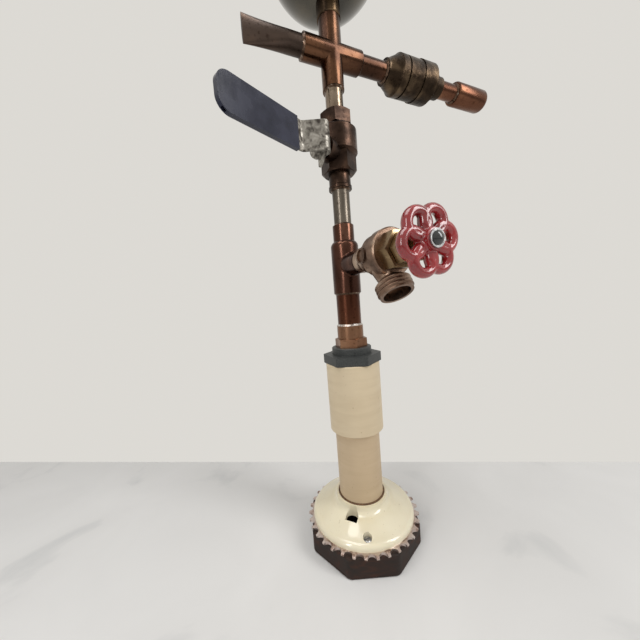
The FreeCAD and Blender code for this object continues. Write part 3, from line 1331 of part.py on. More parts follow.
def solder_rings():
    """A small fillet of solder where each tube enters its socket."""
    joints = (
        ("adapter", "large_tube_radius", UP, "0", "0", ADAPTER_TOP),
        ("tee_foot", "large_tube_radius", DOWN, "0", "0", TEE_BOTTOM),
        ("tee_head", "small_tube_radius", UP, "0", "0", TEE_TOP),
        ("valve_foot", "small_tube_radius", DOWN, "0", "0", VALVE_BOTTOM),
        ("valve_head", "small_tube_radius", UP, "0", "0", VALVE_TOP),
        ("cross_foot", "small_tube_radius", DOWN, "0", "0", CROSS_BOTTOM),
        ("cross_left", "small_tube_radius", LEFT, "-cross_arm", "0", CROSS_HEIGHT),
        ("cross_right", "small_tube_radius", RIGHT, "cross_arm", "0", CROSS_HEIGHT),
        ("check_inlet", "small_tube_radius", LEFT, "check_start", "0", CROSS_HEIGHT),
        ("check_outlet", "small_tube_radius", RIGHT, "check_end", "0", CROSS_HEIGHT),
        ("cap", "small_tube_radius", LEFT, "arm_end_cap_start", "0", CROSS_HEIGHT),
        ("branch", "small_tube_radius", FRONT, "0", "-branch_socket_end", BRANCH_HEIGHT))
    rings = []
    for name, radius, direction, x, y, z in joints:
        body = new_body(f"solder_{name}")
        turn(body, f"solder_{name}_turned", [
            (f"{radius} + 0.02", "0"), (f"{radius} + solder_width", "0"), (f"{radius} + 0.02", "solder_height")])
        place(body, x, y, z, direction)
        rings.append(body)
    group = doc.addObject("Part::Compound", "solder_rings")
    group.Links = rings
    return keep(group, "solder_rings")


def check_valve():
    """In-line check valve: body with seat, banded end piece with a guide, poppet and spring."""
    body = new_body("check_valve_body")
    turn(body, "check_shell", [
        ("0", "check_start"),
        ("check_inlet_radius", "check_start"),
        ("check_inlet_radius", "check_start + 1.5"),
        ("check_barrel_radius - 1.5", "check_cone_end"),
        ("check_barrel_radius", "check_cone_end + 1.5"),
        ("check_barrel_radius", "check_groove_place"),
        ("check_barrel_radius - check_groove_depth", "check_groove_place"),
        ("check_barrel_radius - check_groove_depth", "check_groove_place + check_groove_width"),
        ("check_barrel_radius", "check_groove_place + check_groove_width"),
        ("check_barrel_radius", "check_joint"),
        ("0", "check_joint")])
    turn(body, "check_bores", [
        ("0", "check_start - 1"),
        (SMALL_SOCKET, "check_start - 1"),
        (SMALL_SOCKET, "check_start + socket_depth"),
        ("check_seat_bore", "check_start + socket_depth"),
        ("check_seat_bore", CHECK_SEAT),
        ("check_chamber_radius", CHECK_SEAT),
        ("check_chamber_radius", "check_joint + 1"),
        ("0", "check_joint + 1")], cut=True)
    place(body, z=CROSS_HEIGHT, rotation=RIGHT)
    keep(body, "check_valve_body")
    body = new_body("check_valve_end")
    spigot = "(check_joint - check_spigot_length)"
    turn(body, "check_end_shell", [
        ("0", spigot),
        ("check_chamber_radius - fit_clearance", spigot),
        ("check_chamber_radius - fit_clearance", "check_joint"),
        ("check_band_radius", "check_joint"),
        ("check_band_radius", "check_band_end - 1"),
        ("check_band_radius - 1", "check_band_end"),
        ("check_step_radius", "check_band_end + 1"),
        ("check_step_radius", "check_step_end - 1"),
        ("check_tail_radius", "check_step_end"),
        ("check_tail_radius", "check_end"),
        ("0", "check_end")])
    guide_end = "(check_joint + check_guide_thickness)"
    turn(body, "check_end_bores", [
        ("0", spigot + " - 1"),
        ("check_spigot_bore", spigot + " - 1"),
        ("check_spigot_bore", "check_joint"),
        ("poppet_stem_radius + running_clearance", "check_joint"),
        ("poppet_stem_radius + running_clearance", guide_end),
        ("check_spigot_bore", guide_end),
        ("check_spigot_bore", "check_step_end - socket_depth + 4"),
        ("check_seat_bore", "check_step_end - socket_depth + 7"),
        ("check_seat_bore", "check_end - socket_depth"),
        (SMALL_SOCKET, "check_end - socket_depth"),
        (SMALL_SOCKET, "check_end + 1"),
        ("0", "check_end + 1")], cut=True)
    flow = new_sketch(body, "guide_hole_outline", "XY_Plane")
    draw_circle(flow, "(check_spigot_bore + poppet_stem_radius) / 2", "0", "guide_hole_radius")
    holes = extrude(body, "guide_hole", flow, "check_guide_thickness + 2", cut=True, start=f"{guide_end} + 1")
    polar(body, "guide_holes", holes, "guide_hole_count")
    place(body, z=CROSS_HEIGHT, rotation=RIGHT)
    keep(body, "check_valve_end")
    poppet_start = f"({CHECK_SEAT} + soft_gap)"
    turned_part("check_poppet", [[
        ("0", poppet_start),
        ("poppet_radius", poppet_start),
        ("poppet_radius", f"{poppet_start} + poppet_thickness"),
        ("poppet_stem_radius", f"{poppet_start} + poppet_thickness + 1"),
        ("poppet_stem_radius", f"{guide_end} + 0.5"),
        ("0", f"{guide_end} + 0.5")]], z=CROSS_HEIGHT, rotation=RIGHT)
    spring_start = f"({poppet_start} + poppet_thickness + poppet_travel + 1 + spring_wire_radius)"
    coil = doc.addObject("Part::Helix", "spring_line")
    bind(coil, "Radius", "spring_radius")
    bind(coil, "Height", f"check_joint - 0.1 - spring_wire_radius - {spring_start}")
    bind(coil, "Pitch", f"(check_joint - 0.1 - spring_wire_radius - {spring_start}) / spring_turns")
    wire = doc.addObject("Part::Circle", "spring_wire")
    bind(wire, "Radius", "spring_wire_radius")
    wire.Placement = FreeCAD.Placement(Vector(), Rotation(Vector(1, 0, 0), 90))
    bind(wire, "Placement.Base.x", "spring_radius")
    spring = doc.addObject("Part::Sweep", "check_spring")
    spring.Sections = [wire]
    spring.Spine = coil
    spring.Solid = True
    spring.Frenet = True
    place(spring, x=spring_start, z=CROSS_HEIGHT, rotation=RIGHT)
    keep(spring, "check_spring")


CHECK_SEAT = "(check_start + socket_depth + 4)"


def arm_end():
    """Tube out of the check valve and the domed sleeve soldered over its end."""
    tube("arm_end_tube", "small_tube_radius", "check_end - socket_depth", "arm_end - arm_end_cap_wall - 3",
         RIGHT, CROSS_HEIGHT)
    turned_part("arm_end_cap", [[
        (SMALL_SOCKET, "arm_end_cap_start"),
        ("arm_end_cap_radius - 0.8", "arm_end_cap_start"),
        ("arm_end_cap_radius", "arm_end_cap_start + 1.5"),
        ("arm_end_cap_radius", "arm_end - 5", "6", "left"),
        ("arm_end_cap_radius - 5", "arm_end"),
        ("0", "arm_end"),
        ("0", "arm_end - arm_end_cap_wall"),
        (SMALL_SOCKET, "arm_end - arm_end_cap_wall")]], z=CROSS_HEIGHT, rotation=RIGHT)


def lamp_head():
    """Top adapter, threaded nipple and locknut, spun bowl, lampholder with sleeve and contact, bulb."""
    cross_top = f"({CROSS_HEIGHT} + cross_upper_length)"
    adapter_top = f"({cross_top} + top_adapter_length)"
    turned_part("top_adapter", [[
        ("nipple_radius + fit_clearance", "-top_adapter_spigot"),
        ("small_tube_radius", "-top_adapter_spigot"),
        ("small_tube_radius", "0"),
        ("top_adapter_radius - 0.6", "0"),
        ("top_adapter_radius", "0.6"),
        ("top_adapter_radius", "top_adapter_length - 0.6"),
        ("top_adapter_radius - 0.6", "top_adapter_length"),
        ("nipple_radius + fit_clearance", "top_adapter_length")]], z=cross_top)
    turned_part("lamp_nipple", [ring("nipple_bore_radius", "nipple_radius", "0", "nipple_length")],
                z=f"{adapter_top} + bowl_wall + locknut_height + holder_floor - nipple_length")
    hex_nut("nipple_locknut", "locknut_flats", "locknut_height", "nipple_radius", z=f"{adapter_top} + bowl_wall")
    turned_part("lamp_bowl", [[
        ("nipple_radius + fit_clearance", "0"),
        ("bowl_base_radius", "0", "bowl_radius", "left"),
        (BOWL_REACH, "bowl_height"),
        (f"sqrt(pow(bowl_radius - bowl_wall; 2) - pow({BOWL_CENTRE} - bowl_height; 2))", "bowl_height",
         "bowl_radius - bowl_wall", "right"),
        (f"sqrt(pow(bowl_radius - bowl_wall; 2) - pow({BOWL_CENTRE} - bowl_wall; 2))", "bowl_wall"),
        ("nipple_radius + fit_clearance", "bowl_wall")]], z=adapter_top)


def rolled_rim():
    """The bead that the bowl's edge is rolled into."""
    body = [part for part in kept if part.Label == "lamp_bowl"][0]
    middle = f"({BOWL_REACH} - bowl_wall / 2)"
    top = "(bowl_height + bowl_rim_radius / 2)"
    turn(body, "bowl_rim", [
        (f"{middle} + bowl_rim_radius", top, "bowl_rim_radius", "left"),
        (middle, f"{top} + bowl_rim_radius", "bowl_rim_radius", "left"),
        (f"{middle} - bowl_rim_radius", top, "bowl_rim_radius", "left"),
        (middle, f"{top} - bowl_rim_radius", "bowl_rim_radius", "left")])


def lampholder():
    """Lampholder cup on the nipple, its screw sleeve and centre contact."""
    floor = f"({HOLDER_SEAT} + holder_floor)"
    turned_part("lampholder_body", [[
        ("nipple_radius + fit_clearance", HOLDER_SEAT),
        ("holder_base_radius", HOLDER_SEAT),
        ("holder_radius", f"{HOLDER_SEAT} + holder_floor"),
        ("holder_radius", f"{HOLDER_SEAT} + holder_height"),
        ("holder_radius - holder_wall", f"{HOLDER_SEAT} + holder_height"),
        ("holder_radius - holder_wall", floor),
        ("nipple_radius + fit_clearance", floor)]])
    turned_part("screw_sleeve", [ring(
        "holder_sleeve_radius - holder_sleeve_wall", "holder_sleeve_radius", floor,
        f"{HOLDER_SEAT} + holder_height - holder_wall")])
    turned_part("centre_contact", [[
        ("0", f"{floor} + 0.05"),
        ("contact_radius", f"{floor} + 0.05"),
        ("contact_radius", f"{floor} + contact_thickness"),
        ("contact_radius / 2", f"{floor} + contact_height"),
        ("0", f"{floor} + contact_height")]])


def bulb():
    """Screw cap with its tip, blown globe, glass mount with two mica discs, coiled filament."""
    turned_part("bulb_cap", [[
        ("0", "0"),
        ("contact_radius", "0"),
        ("bulb_cap_radius - 4", "2.5"),
        ("bulb_cap_radius", "4"),
        ("bulb_cap_radius", "bulb_cap_height"),
        ("bulb_cap_radius - bulb_cap_wall", "bulb_cap_height"),
        ("bulb_cap_radius - bulb_cap_wall", "5"),
        ("0", "5")]], z=CAP_BOTTOM)
    outer_drop = "sqrt(pow(bulb_radius; 2) - pow(bulb_join_radius; 2))"
    inner = "(bulb_radius - bulb_wall)"
    turned_part("bulb_glass", [[
        ("bulb_neck_radius - bulb_wall", "-bulb_neck_length"),
        ("bulb_neck_radius", "-bulb_neck_length"),
        ("bulb_neck_radius", "1", "bulb_neck_round", "right"),
        ("bulb_join_radius", f"bulb_centre_rise - {outer_drop}", "bulb_radius", "left"),
        ("0", "bulb_centre_rise + bulb_radius"),
        ("0", f"bulb_centre_rise + {inner}", inner, "right"),
        (f"bulb_join_radius * {inner} / bulb_radius", f"bulb_centre_rise - {outer_drop} * {inner} / bulb_radius",
         "bulb_neck_round + bulb_wall", "left"),
        ("bulb_neck_radius - bulb_wall", "1 + bulb_wall / 2")]], z=f"{CAP_BOTTOM} + bulb_cap_height")
    disc = []
    for height in ("filament_rise", "filament_rise + filament_height"):
        disc += [("mount_rod_radius", height), ("filament_disc_radius", height),
                 ("filament_disc_radius", f"{height} + filament_disc"), ("mount_rod_radius", f"{height} + filament_disc")]
    turned_part("bulb_mount", [[
        ("0", "-bulb_neck_length + 1"),
        ("bulb_neck_radius - bulb_wall - soft_gap", "-bulb_neck_length + 1"),
        ("bulb_neck_radius - bulb_wall - soft_gap", "-bulb_neck_length + 2"),
        ("mount_rod_radius", "bulb_neck_length")] + disc + [
        ("mount_rod_radius", "filament_rise + filament_height + 3"),
        ("0", "filament_rise + filament_height + 3")]], z=f"{CAP_BOTTOM} + bulb_cap_height")
    coil = doc.addObject("Part::Helix", "filament_line")
    length = "(filament_height - filament_disc - 2 * filament_wire_radius - 0.1)"
    bind(coil, "Radius", "filament_radius")
    bind(coil, "Height", length)
    bind(coil, "Pitch", f"{length} / filament_turns")
    wire = doc.addObject("Part::Circle", "filament_section")
    bind(wire, "Radius", "filament_wire_radius")
    wire.Placement = FreeCAD.Placement(Vector(), Rotation(Vector(1, 0, 0), 90))
    bind(wire, "Placement.Base.x", "filament_radius")
    coiled = doc.addObject("Part::Sweep", "filament_coil")
    coiled.Sections = [wire]
    coiled.Spine = coil
    coiled.Solid = True
    coiled.Frenet = True
    place(coiled, z=f"{CAP_BOTTOM} + bulb_cap_height + filament_rise + filament_disc + filament_wire_radius + 0.05")
    keep(coiled, "bulb_filament")


BOWL_CENTRE = "sqrt(pow(bowl_radius; 2) - pow(bowl_base_radius; 2))"
BOWL_REACH = f"sqrt(pow(bowl_radius; 2) - pow({BOWL_CENTRE} - bowl_height; 2))"
HOLDER_SEAT = f"({CROSS_HEIGHT} + cross_upper_length + top_adapter_length + bowl_wall + locknut_height)"
CAP_BOTTOM = f"({HOLDER_SEAT} + holder_floor + contact_height)"

foot_block()
sprocket_ring()
base_rose()
rose_screws()
clamp_stack()
plastic_pipework()
reducer_bushing()
copper_adapter()
tube("lower_riser_tube", "large_tube_radius", f"{STEP_TOP} - adapter_thread_length + adapter_thread_length"
     " + adapter_stop_height", f"{TEE_BOTTOM} + socket_depth + 4")
branch_tee()
tube("branch_stub_tube", "small_tube_radius", "branch_socket_end - socket_depth",
     "tap_inlet_start + socket_depth", FRONT, BRANCH_HEIGHT)
drain_body()
drain_bonnet()
packing()
tap_stem_parts()
handwheel()
handwheel_fixings()
tube("middle_riser_tube", "small_tube_radius", f"{TEE_TOP} - socket_depth", f"{VALVE_BOTTOM} + socket_depth")
valve_body()
valve_end()
ball_and_stem()
lever_parts()
tube("upper_riser_tube", "small_tube_radius", f"{VALVE_TOP} - socket_depth", f"{CROSS_BOTTOM} + socket_depth")
copper_cross()
left_arm()
tube("right_arm_tube", "small_tube_radius", "cross_arm - socket_depth", "check_start + socket_depth",
     RIGHT, CROSS_HEIGHT)
check_valve()
arm_end()
lamp_head()
rolled_rim()
lampholder()
bulb()
solder_rings()

doc.recompute()
for thing in doc.Objects:
    if "Invalid" in thing.State or "Error" in thing.State:
        raise RuntimeError(f"{thing.Name} did not recompute")
for part in kept:
    if part.Shape.isNull() or not part.Shape.isValid():
        raise RuntimeError(f"{part.Label} has no sound shape")
    part.Shape.exportStep(f"parts/{part.Label}.step")
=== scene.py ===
import math

import bpy
from mathutils import Matrix, Vector


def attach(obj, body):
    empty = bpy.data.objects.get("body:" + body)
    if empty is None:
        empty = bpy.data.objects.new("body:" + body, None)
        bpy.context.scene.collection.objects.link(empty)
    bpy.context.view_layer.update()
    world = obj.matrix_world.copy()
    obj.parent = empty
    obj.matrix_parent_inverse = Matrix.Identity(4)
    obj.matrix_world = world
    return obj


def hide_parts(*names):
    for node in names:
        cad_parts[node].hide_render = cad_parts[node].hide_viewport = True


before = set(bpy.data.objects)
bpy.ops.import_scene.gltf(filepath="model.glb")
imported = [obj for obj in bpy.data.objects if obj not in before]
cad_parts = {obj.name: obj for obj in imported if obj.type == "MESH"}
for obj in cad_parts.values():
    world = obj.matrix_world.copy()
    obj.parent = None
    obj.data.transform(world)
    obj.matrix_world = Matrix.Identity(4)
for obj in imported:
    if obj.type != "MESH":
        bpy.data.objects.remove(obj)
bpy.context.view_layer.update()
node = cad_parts

# The viewpoint: a hand-held wide lens close to the lamp, a little above its middle, looking at it
# past the left arm and tipped so that the top of the lamp leans to the left.
LENS_MM = 15.19
EYE = Vector((-0.1268, -0.2265, 0.232))
HEADING = 23.0
TILT_DOWN = 4.0
LEAN = 4.43
NEAREST = 0.01

lens = bpy.data.cameras.new("lens")
lens.lens = LENS_MM
lens.clip_start = NEAREST
viewpoint = bpy.data.objects.new("viewpoint", lens)
bpy.context.collection.objects.link(viewpoint)
viewpoint.matrix_world = (
    Matrix.Translation(EYE)
    @ Matrix.Rotation(math.radians(-HEADING), 4, "Z")
    @ Matrix.Rotation(math.radians(90 - TILT_DOWN), 4, "X")
    @ Matrix.Rotation(math.radians(-LEAN), 4, "Z")
)
bpy.context.scene.camera = viewpoint

# The table and the wall behind it: a pale plastered tone with faint stains. The floor is one wide
# sheet, and past the line where the wall would stand it only shows the wall's flat tone.
WALL_TONE = (0.72, 0.70, 0.66)
TABLE_TONE = (0.78, 0.77, 0.75)
TABLE_SIZE = 6
WALL_DIRECTION = (0.5061, 0.8625, 0)
WALL_DISTANCE = 0.1114
LOW_CLOUD = 0.3
HIGH_CLOUD = 0.7


def start_material(name, colour, roughness, metallic=0.0):
    """A new material of these plain values, with its node tree, its shader and its Object coordinates."""
    material = bpy.data.materials.new(name)
    material.use_nodes = True
    tree = material.node_tree
    surface = tree.nodes["Principled BSDF"]
    surface.inputs["Base Color"].default_value = (*colour, 1)
    surface.inputs["Roughness"].default_value = roughness
    surface.inputs["Metallic"].default_value = metallic
    place = tree.nodes.new("ShaderNodeTexCoord").outputs["Object"]
    return material, tree, surface, place


def clouds(tree, place, per_metre, detail=4, stretch=(1, 1, 1), twist=0.0):
    """Soft noise on Object coordinates, drawn out by stretch, with so many blobs per metre."""
    mapping = tree.nodes.new("ShaderNodeMapping")
    mapping.inputs["Scale"].default_value = stretch
    tree.links.new(place, mapping.inputs["Vector"])
    noise = tree.nodes.new("ShaderNodeTexNoise")
    noise.inputs["Scale"].default_value = per_metre
    noise.inputs["Detail"].default_value = detail
    noise.inputs["Distortion"].default_value = twist
    tree.links.new(mapping.outputs["Vector"], noise.inputs["Vector"])
    return noise.outputs["Fac"]


def shades(tree, factor, *stops):
    """Colours along a factor: each stop is a place from 0 to 1 and a colour."""
    ramp = tree.nodes.new("ShaderNodeValToRGB")
    while len(ramp.color_ramp.elements) < len(stops):
        ramp.color_ramp.elements.new(0.5)
    for element, (at, colour) in zip(ramp.color_ramp.elements, stops):
        element.position = at
        element.color = (*colour, 1)
    tree.links.new(factor, ramp.inputs["Fac"])
    return ramp.outputs["Color"]


def blended(tree, factor, first, second, how="MIX"):
    """Two colours mixed by a factor, which is a socket or a number."""
    mix = tree.nodes.new("ShaderNodeMix")
    mix.data_type = "RGBA"
    mix.blend_type = how
    if isinstance(factor, bpy.types.NodeSocket):
        tree.links.new(factor, mix.inputs[0])
    else:
        mix.inputs[0].default_value = factor
    tree.links.new(first, mix.inputs[6])
    tree.links.new(second, mix.inputs[7])
    return mix.outputs[2]


def paint(tree, surface, factor, *stops):
    """Colours the surface along a factor."""
    tree.links.new(shades(tree, factor, *stops), surface.inputs["Base Color"])


def polish(tree, surface, factor, at_low, at_high):
    """Runs the roughness from one value to the other as the factor runs from LOW_CLOUD to HIGH_CLOUD."""
    spread = tree.nodes.new("ShaderNodeMapRange")
    spread.inputs["From Min"].default_value = LOW_CLOUD
    spread.inputs["From Max"].default_value = HIGH_CLOUD
    spread.inputs["To Min"].default_value = at_low
    spread.inputs["To Max"].default_value = at_high
    tree.links.new(factor, spread.inputs["Value"])
    tree.links.new(spread.outputs["Result"], surface.inputs["Roughness"])


def relief(tree, surface, factor, depth_mm):
    """Small height from a factor."""
    bump = tree.nodes.new("ShaderNodeBump")
    bump.inputs["Distance"].default_value = depth_mm / 1000
    tree.links.new(factor, bump.inputs["Height"])
    tree.links.new(bump.outputs["Normal"], surface.inputs["Normal"])


def glaze(surface, weight, roughness):
    """A clear coat over the finish."""
    surface.inputs["Coat Weight"].default_value = weight
    surface.inputs["Coat Roughness"].default_value = roughness


material, tree, surface, place = start_material("table_top", TABLE_TONE, roughness=0.9)
stains = clouds(tree, place, per_metre=9, detail=8, twist=0.6)
paint(tree, surface, stains, (0.30, (0.64, 0.64, 0.63)), (0.42, TABLE_TONE), (0.75, (0.82, 0.81, 0.79)))
wall_line = tree.nodes.new("ShaderNodeVectorMath")
wall_line.operation = "DOT_PRODUCT"
wall_line.inputs[1].default_value = WALL_DIRECTION
tree.links.new(place, wall_line.inputs[0])
behind = tree.nodes.new("ShaderNodeMath")
behind.operation = "GREATER_THAN"
behind.inputs[1].default_value = WALL_DISTANCE
tree.links.new(wall_line.outputs["Value"], behind.inputs[0])
wall = tree.nodes.new("ShaderNodeEmission")
wall.inputs["Color"].default_value = (*WALL_TONE, 1)
either = tree.nodes.new("ShaderNodeMixShader")
tree.links.new(behind.outputs["Value"], either.inputs["Fac"])
tree.links.new(surface.outputs["BSDF"], either.inputs[1])
tree.links.new(wall.outputs["Emission"], either.inputs[2])
tree.links.new(either.outputs["Shader"], tree.nodes["Material Output"].inputs["Surface"])

bpy.ops.object.select_all(action="DESELECT")
bpy.ops.mesh.primitive_plane_add(size=TABLE_SIZE, location=(0, 0, 0))
table = bpy.context.object
table.name = "table"
table.data.materials.append(material)

# The light: pale daylight from all round, a window at the right, a ceiling lamp above and a narrow
# strip at the left that draws thin lights along the pipes. Eye, metal and glass see the wall's tone.
DAYLIGHT = (1.0, 0.98, 0.95)
DAYLIGHT_STRENGTH = 0.30

world = bpy.data.worlds.new("studio")
bpy.context.scene.world = world
world.use_nodes = True
sky = world.node_tree
light = sky.nodes["Background"]
light.inputs["Color"].default_value = (*DAYLIGHT, 1)
light.inputs["Strength"].default_value = DAYLIGHT_STRENGTH
seen = sky.nodes.new("ShaderNodeBackground")
seen.inputs["Color"].default_value = (*WALL_TONE, 1)
path = sky.nodes.new("ShaderNodeLightPath")
shown = sky.nodes.new("ShaderNodeMixShader")
seen_by = path.outputs["Is Camera Ray"]
for ray in ("Is Glossy Ray", "Is Transmission Ray"):
    either_ray = sky.nodes.new("ShaderNodeMath")
    either_ray.operation = "MAXIMUM"
    sky.links.new(seen_by, either_ray.inputs[0])
    sky.links.new(path.outputs[ray], either_ray.inputs[1])
    seen_by = either_ray.outputs["Value"]
sky.links.new(seen_by, shown.inputs["Fac"])
sky.links.new(light.outputs["Background"], shown.inputs[1])
sky.links.new(seen.outputs["Background"], shown.inputs[2])
sky.links.new(shown.outputs["Shader"], sky.nodes["World Output"].inputs["Surface"])


def softbox(name, place, aim, width, height, power):
    """A soft rectangular lamp at a place, turned to a point."""
    lamp = bpy.data.lights.new(name, "AREA")
    lamp.shape = "RECTANGLE"
    lamp.size = width
    lamp.size_y = height
    lamp.energy = power
    holder = bpy.data.objects.new(name, lamp)
    bpy.context.collection.objects.link(holder)
    holder.location = place
    holder.rotation_mode = "QUATERNION"
    holder.rotation_quaternion = (Vector(aim) - Vector(place)).to_track_quat("-Z", "Y")


softbox("window", (0.55, -0.75, 0.85), aim=(0, 0, 0.28), width=0.35, height=0.8, power=6.0)
softbox("ceiling", (-0.35, -0.1, 1.25), aim=(0, 0, 0.25), width=0.7, height=0.7, power=5.5)
softbox("left_glint", (-0.9, -0.5, 0.5), aim=(0, 0, 0.35), width=0.15, height=0.6, power=2.5)
bpy.context.scene.view_settings.view_transform = "Standard"


# The wooden foot: a low eight-sided block with rounded corners, stained a dark chocolate brown that
# shows redder where the light grazes the grain.
SAME_POINT = 0.000002
SHARP_EDGE = 28


def dress(material, *names):
    """Gives CAD nodes their finish, and shades their round faces smooth and their edges sharp."""
    for name in names:
        piece = node[name]
        piece.material_slots[0].material = material
        weld = piece.modifiers.new("weld", "WELD")
        weld.merge_threshold = SAME_POINT
        edges = piece.modifiers.new("edges", "EDGE_SPLIT")
        edges.split_angle = math.radians(SHARP_EDGE)
        piece.data.polygons.foreach_set("use_smooth", [True] * len(piece.data.polygons))


material, tree, surface, place = start_material("dark_stained_wood", (0.026, 0.013, 0.009),
                                                roughness=0.62)
grain = clouds(tree, place, per_metre=60, detail=8, stretch=(0.25, 2.6, 2.6), twist=0.8)
paint(tree, surface, grain, (0.30, (0.012, 0.007, 0.005)), (0.52, (0.026, 0.013, 0.009)),
      (0.74, (0.062, 0.024, 0.014)))
polish(tree, surface, grain, at_low=0.55, at_high=0.75)
surface.inputs["Specular IOR Level"].default_value = 0.3
relief(tree, surface, grain, depth_mm=0.25)
dress(material, "foot_block")

# The chain wheel lying on the foot: stamped steel, worn bright and pinkish with old plating, with
# brown stain left in the low spots.
material, tree, surface, place = start_material("worn_plated_steel", (0.577, 0.484, 0.437), roughness=0.3,
                                                metallic=1.0)
wear = clouds(tree, place, per_metre=160, detail=7)
paint(tree, surface, wear, (0.32, (0.172, 0.0936, 0.0624)), (0.45, (0.515, 0.406, 0.359)),
      (0.7, (0.671, 0.601, 0.562)))
polish(tree, surface, wear, at_low=0.5, at_high=0.22)
relief(tree, surface, wear, depth_mm=0.08)
dress(material, "sprocket_ring")

# The porcelain rose that covers the foot's middle: cream glaze, thick and glossy, pooling a little
# darker, with tiny specks.
material, tree, surface, place = start_material("cream_glaze", (0.80, 0.71, 0.50), roughness=0.13)
pooling = clouds(tree, place, per_metre=28, detail=3)
tone = shades(tree, pooling, (0.3, (0.78, 0.70, 0.50)), (0.7, (0.86, 0.79, 0.60)))
specks = clouds(tree, place, per_metre=620, detail=2)
dots = shades(tree, specks, (0.24, (0.45, 0.36, 0.22)), (0.30, (1.0, 1.0, 1.0)))
tree.links.new(blended(tree, 0.8, tone, dots, "MULTIPLY"), surface.inputs["Base Color"])
glaze(surface, weight=0.6, roughness=0.06)
surface.inputs["Subsurface Weight"].default_value = 0.05
surface.inputs["Subsurface Radius"].default_value = (0.004, 0.003, 0.002)
relief(tree, surface, clouds(tree, place, per_metre=70, detail=2), depth_mm=0.35)
dress(material, "base_rose")

# The screws, rod, washers and nuts that clamp the foot and the lampholder: plain steel with a dull
# zinc plating of faint spangles.
material, tree, surface, place = start_material("dull_zinc", (0.39, 0.39, 0.39), roughness=0.42,
                                                metallic=1.0)
spangle = clouds(tree, place, per_metre=380, detail=5)
paint(tree, surface, spangle, (0.35, (0.257, 0.257, 0.265)), (0.65, (0.484, 0.484, 0.476)))
polish(tree, surface, spangle, at_low=0.5, at_high=0.32)
relief(tree, surface, spangle, depth_mm=0.04)
dress(material, "rose_screws", "hanger_bolt", "clamp_washer", "clamp_nut", "lamp_nipple", "nipple_locknut",
      "bulb_cap", "lever_nut", "handwheel_washer")

# The brown seam where the pipe enters the rose: old putty, pressed in by hand, rough and uneven.
# It is darker in its hollows.
material, tree, surface, place = start_material("brown_putty", (0.10, 0.048, 0.020), roughness=0.75)
lumps = clouds(tree, place, per_metre=420, detail=5)
paint(tree, surface, lumps, (0.3, (0.05, 0.022, 0.010)), (0.7, (0.17, 0.09, 0.04)))
relief(tree, surface, lumps, depth_mm=0.3)
dress(material, "neck_seal")

# The plastic pipe and the coupling glued over its top: beige and matt, with faint marks turned
# round them and small dark specks.


def beige_plastic(name, pale, deep):
    """Matt beige plastic, tinted between two colours in clouds, with fine rings and a few specks."""
    material, tree, surface, place = start_material(name, pale, 0.5)
    clouding = clouds(tree, place, per_metre=22, detail=5)
    rings = clouds(tree, place, per_metre=240, detail=3, stretch=(0.12, 0.12, 1))
    tone = shades(tree, clouding, (0.3, deep), (0.7, pale))
    ringed = shades(tree, rings, (0.3, (0.955, 0.945, 0.93)), (0.6, (1.0, 1.0, 1.0)))
    specks = clouds(tree, place, per_metre=520, detail=3)
    dots = shades(tree, specks, (0.22, (0.35, 0.25, 0.15)), (0.29, (1.0, 1.0, 1.0)))
    tone = blended(tree, 1.0, tone, ringed, "MULTIPLY")
    tree.links.new(blended(tree, 1.0, tone, dots, "MULTIPLY"), surface.inputs["Base Color"])
    polish(tree, surface, rings, at_low=0.58, at_high=0.44)
    relief(tree, surface, rings, depth_mm=0.05)
    return material


dress(beige_plastic("beige_pipe", (0.60, 0.46, 0.30), (0.54, 0.41, 0.26)), "lower_plastic_pipe")
dress(beige_plastic("beige_coupling", (0.70, 0.58, 0.40), (0.64, 0.52, 0.35)), "pipe_coupling")

# The reducer bushing in the coupling and the plug at the pipe's foot: moulded charcoal plastic,
# slightly grained.
material, tree, surface, place = start_material("charcoal_plastic", (0.028, 0.031, 0.030), roughness=0.5)
grained = clouds(tree, place, per_metre=900, detail=3)
paint(tree, surface, grained, (0.3, (0.018, 0.020, 0.020)), (0.7, (0.048, 0.052, 0.050)))
polish(tree, surface, grained, at_low=0.42, at_high=0.58)
relief(tree, surface, grained, depth_mm=0.05)
dress(material, "reducer_bushing", "pipe_plug")

# The copper pipes and fittings, soldered together: each browned by its own heat and handling, in
# soft clouds with marks drawn along or round the metal and small dulled spots.
PATINA_DULLS = 0.14
PATINA_SHINES = 0.06


def aged_metal(name, deep, middle, lit, roughness, stretch=(1, 1, 0.25), clouding=45, pits_mm=0.06):
    """Copper, brass or bronze that has browned unevenly between three colours."""
    material, tree, surface, place = start_material(name, middle, roughness, 1.0)
    patina = clouds(tree, place, per_metre=clouding, detail=7, stretch=stretch, twist=0.4)
    tone = shades(tree, patina, (0.30, deep), (0.52, middle), (0.74, lit))
    spots = clouds(tree, place, per_metre=340, detail=4)
    spotted = shades(tree, spots, (0.30, (0.45, 0.40, 0.36)), (0.42, (1.0, 1.0, 1.0)))
    tree.links.new(blended(tree, 0.7, tone, spotted, "MULTIPLY"), surface.inputs["Base Color"])
    polish(tree, surface, patina, roughness + PATINA_DULLS, roughness - PATINA_SHINES)
    relief(tree, surface, spots, pits_mm)
    return material


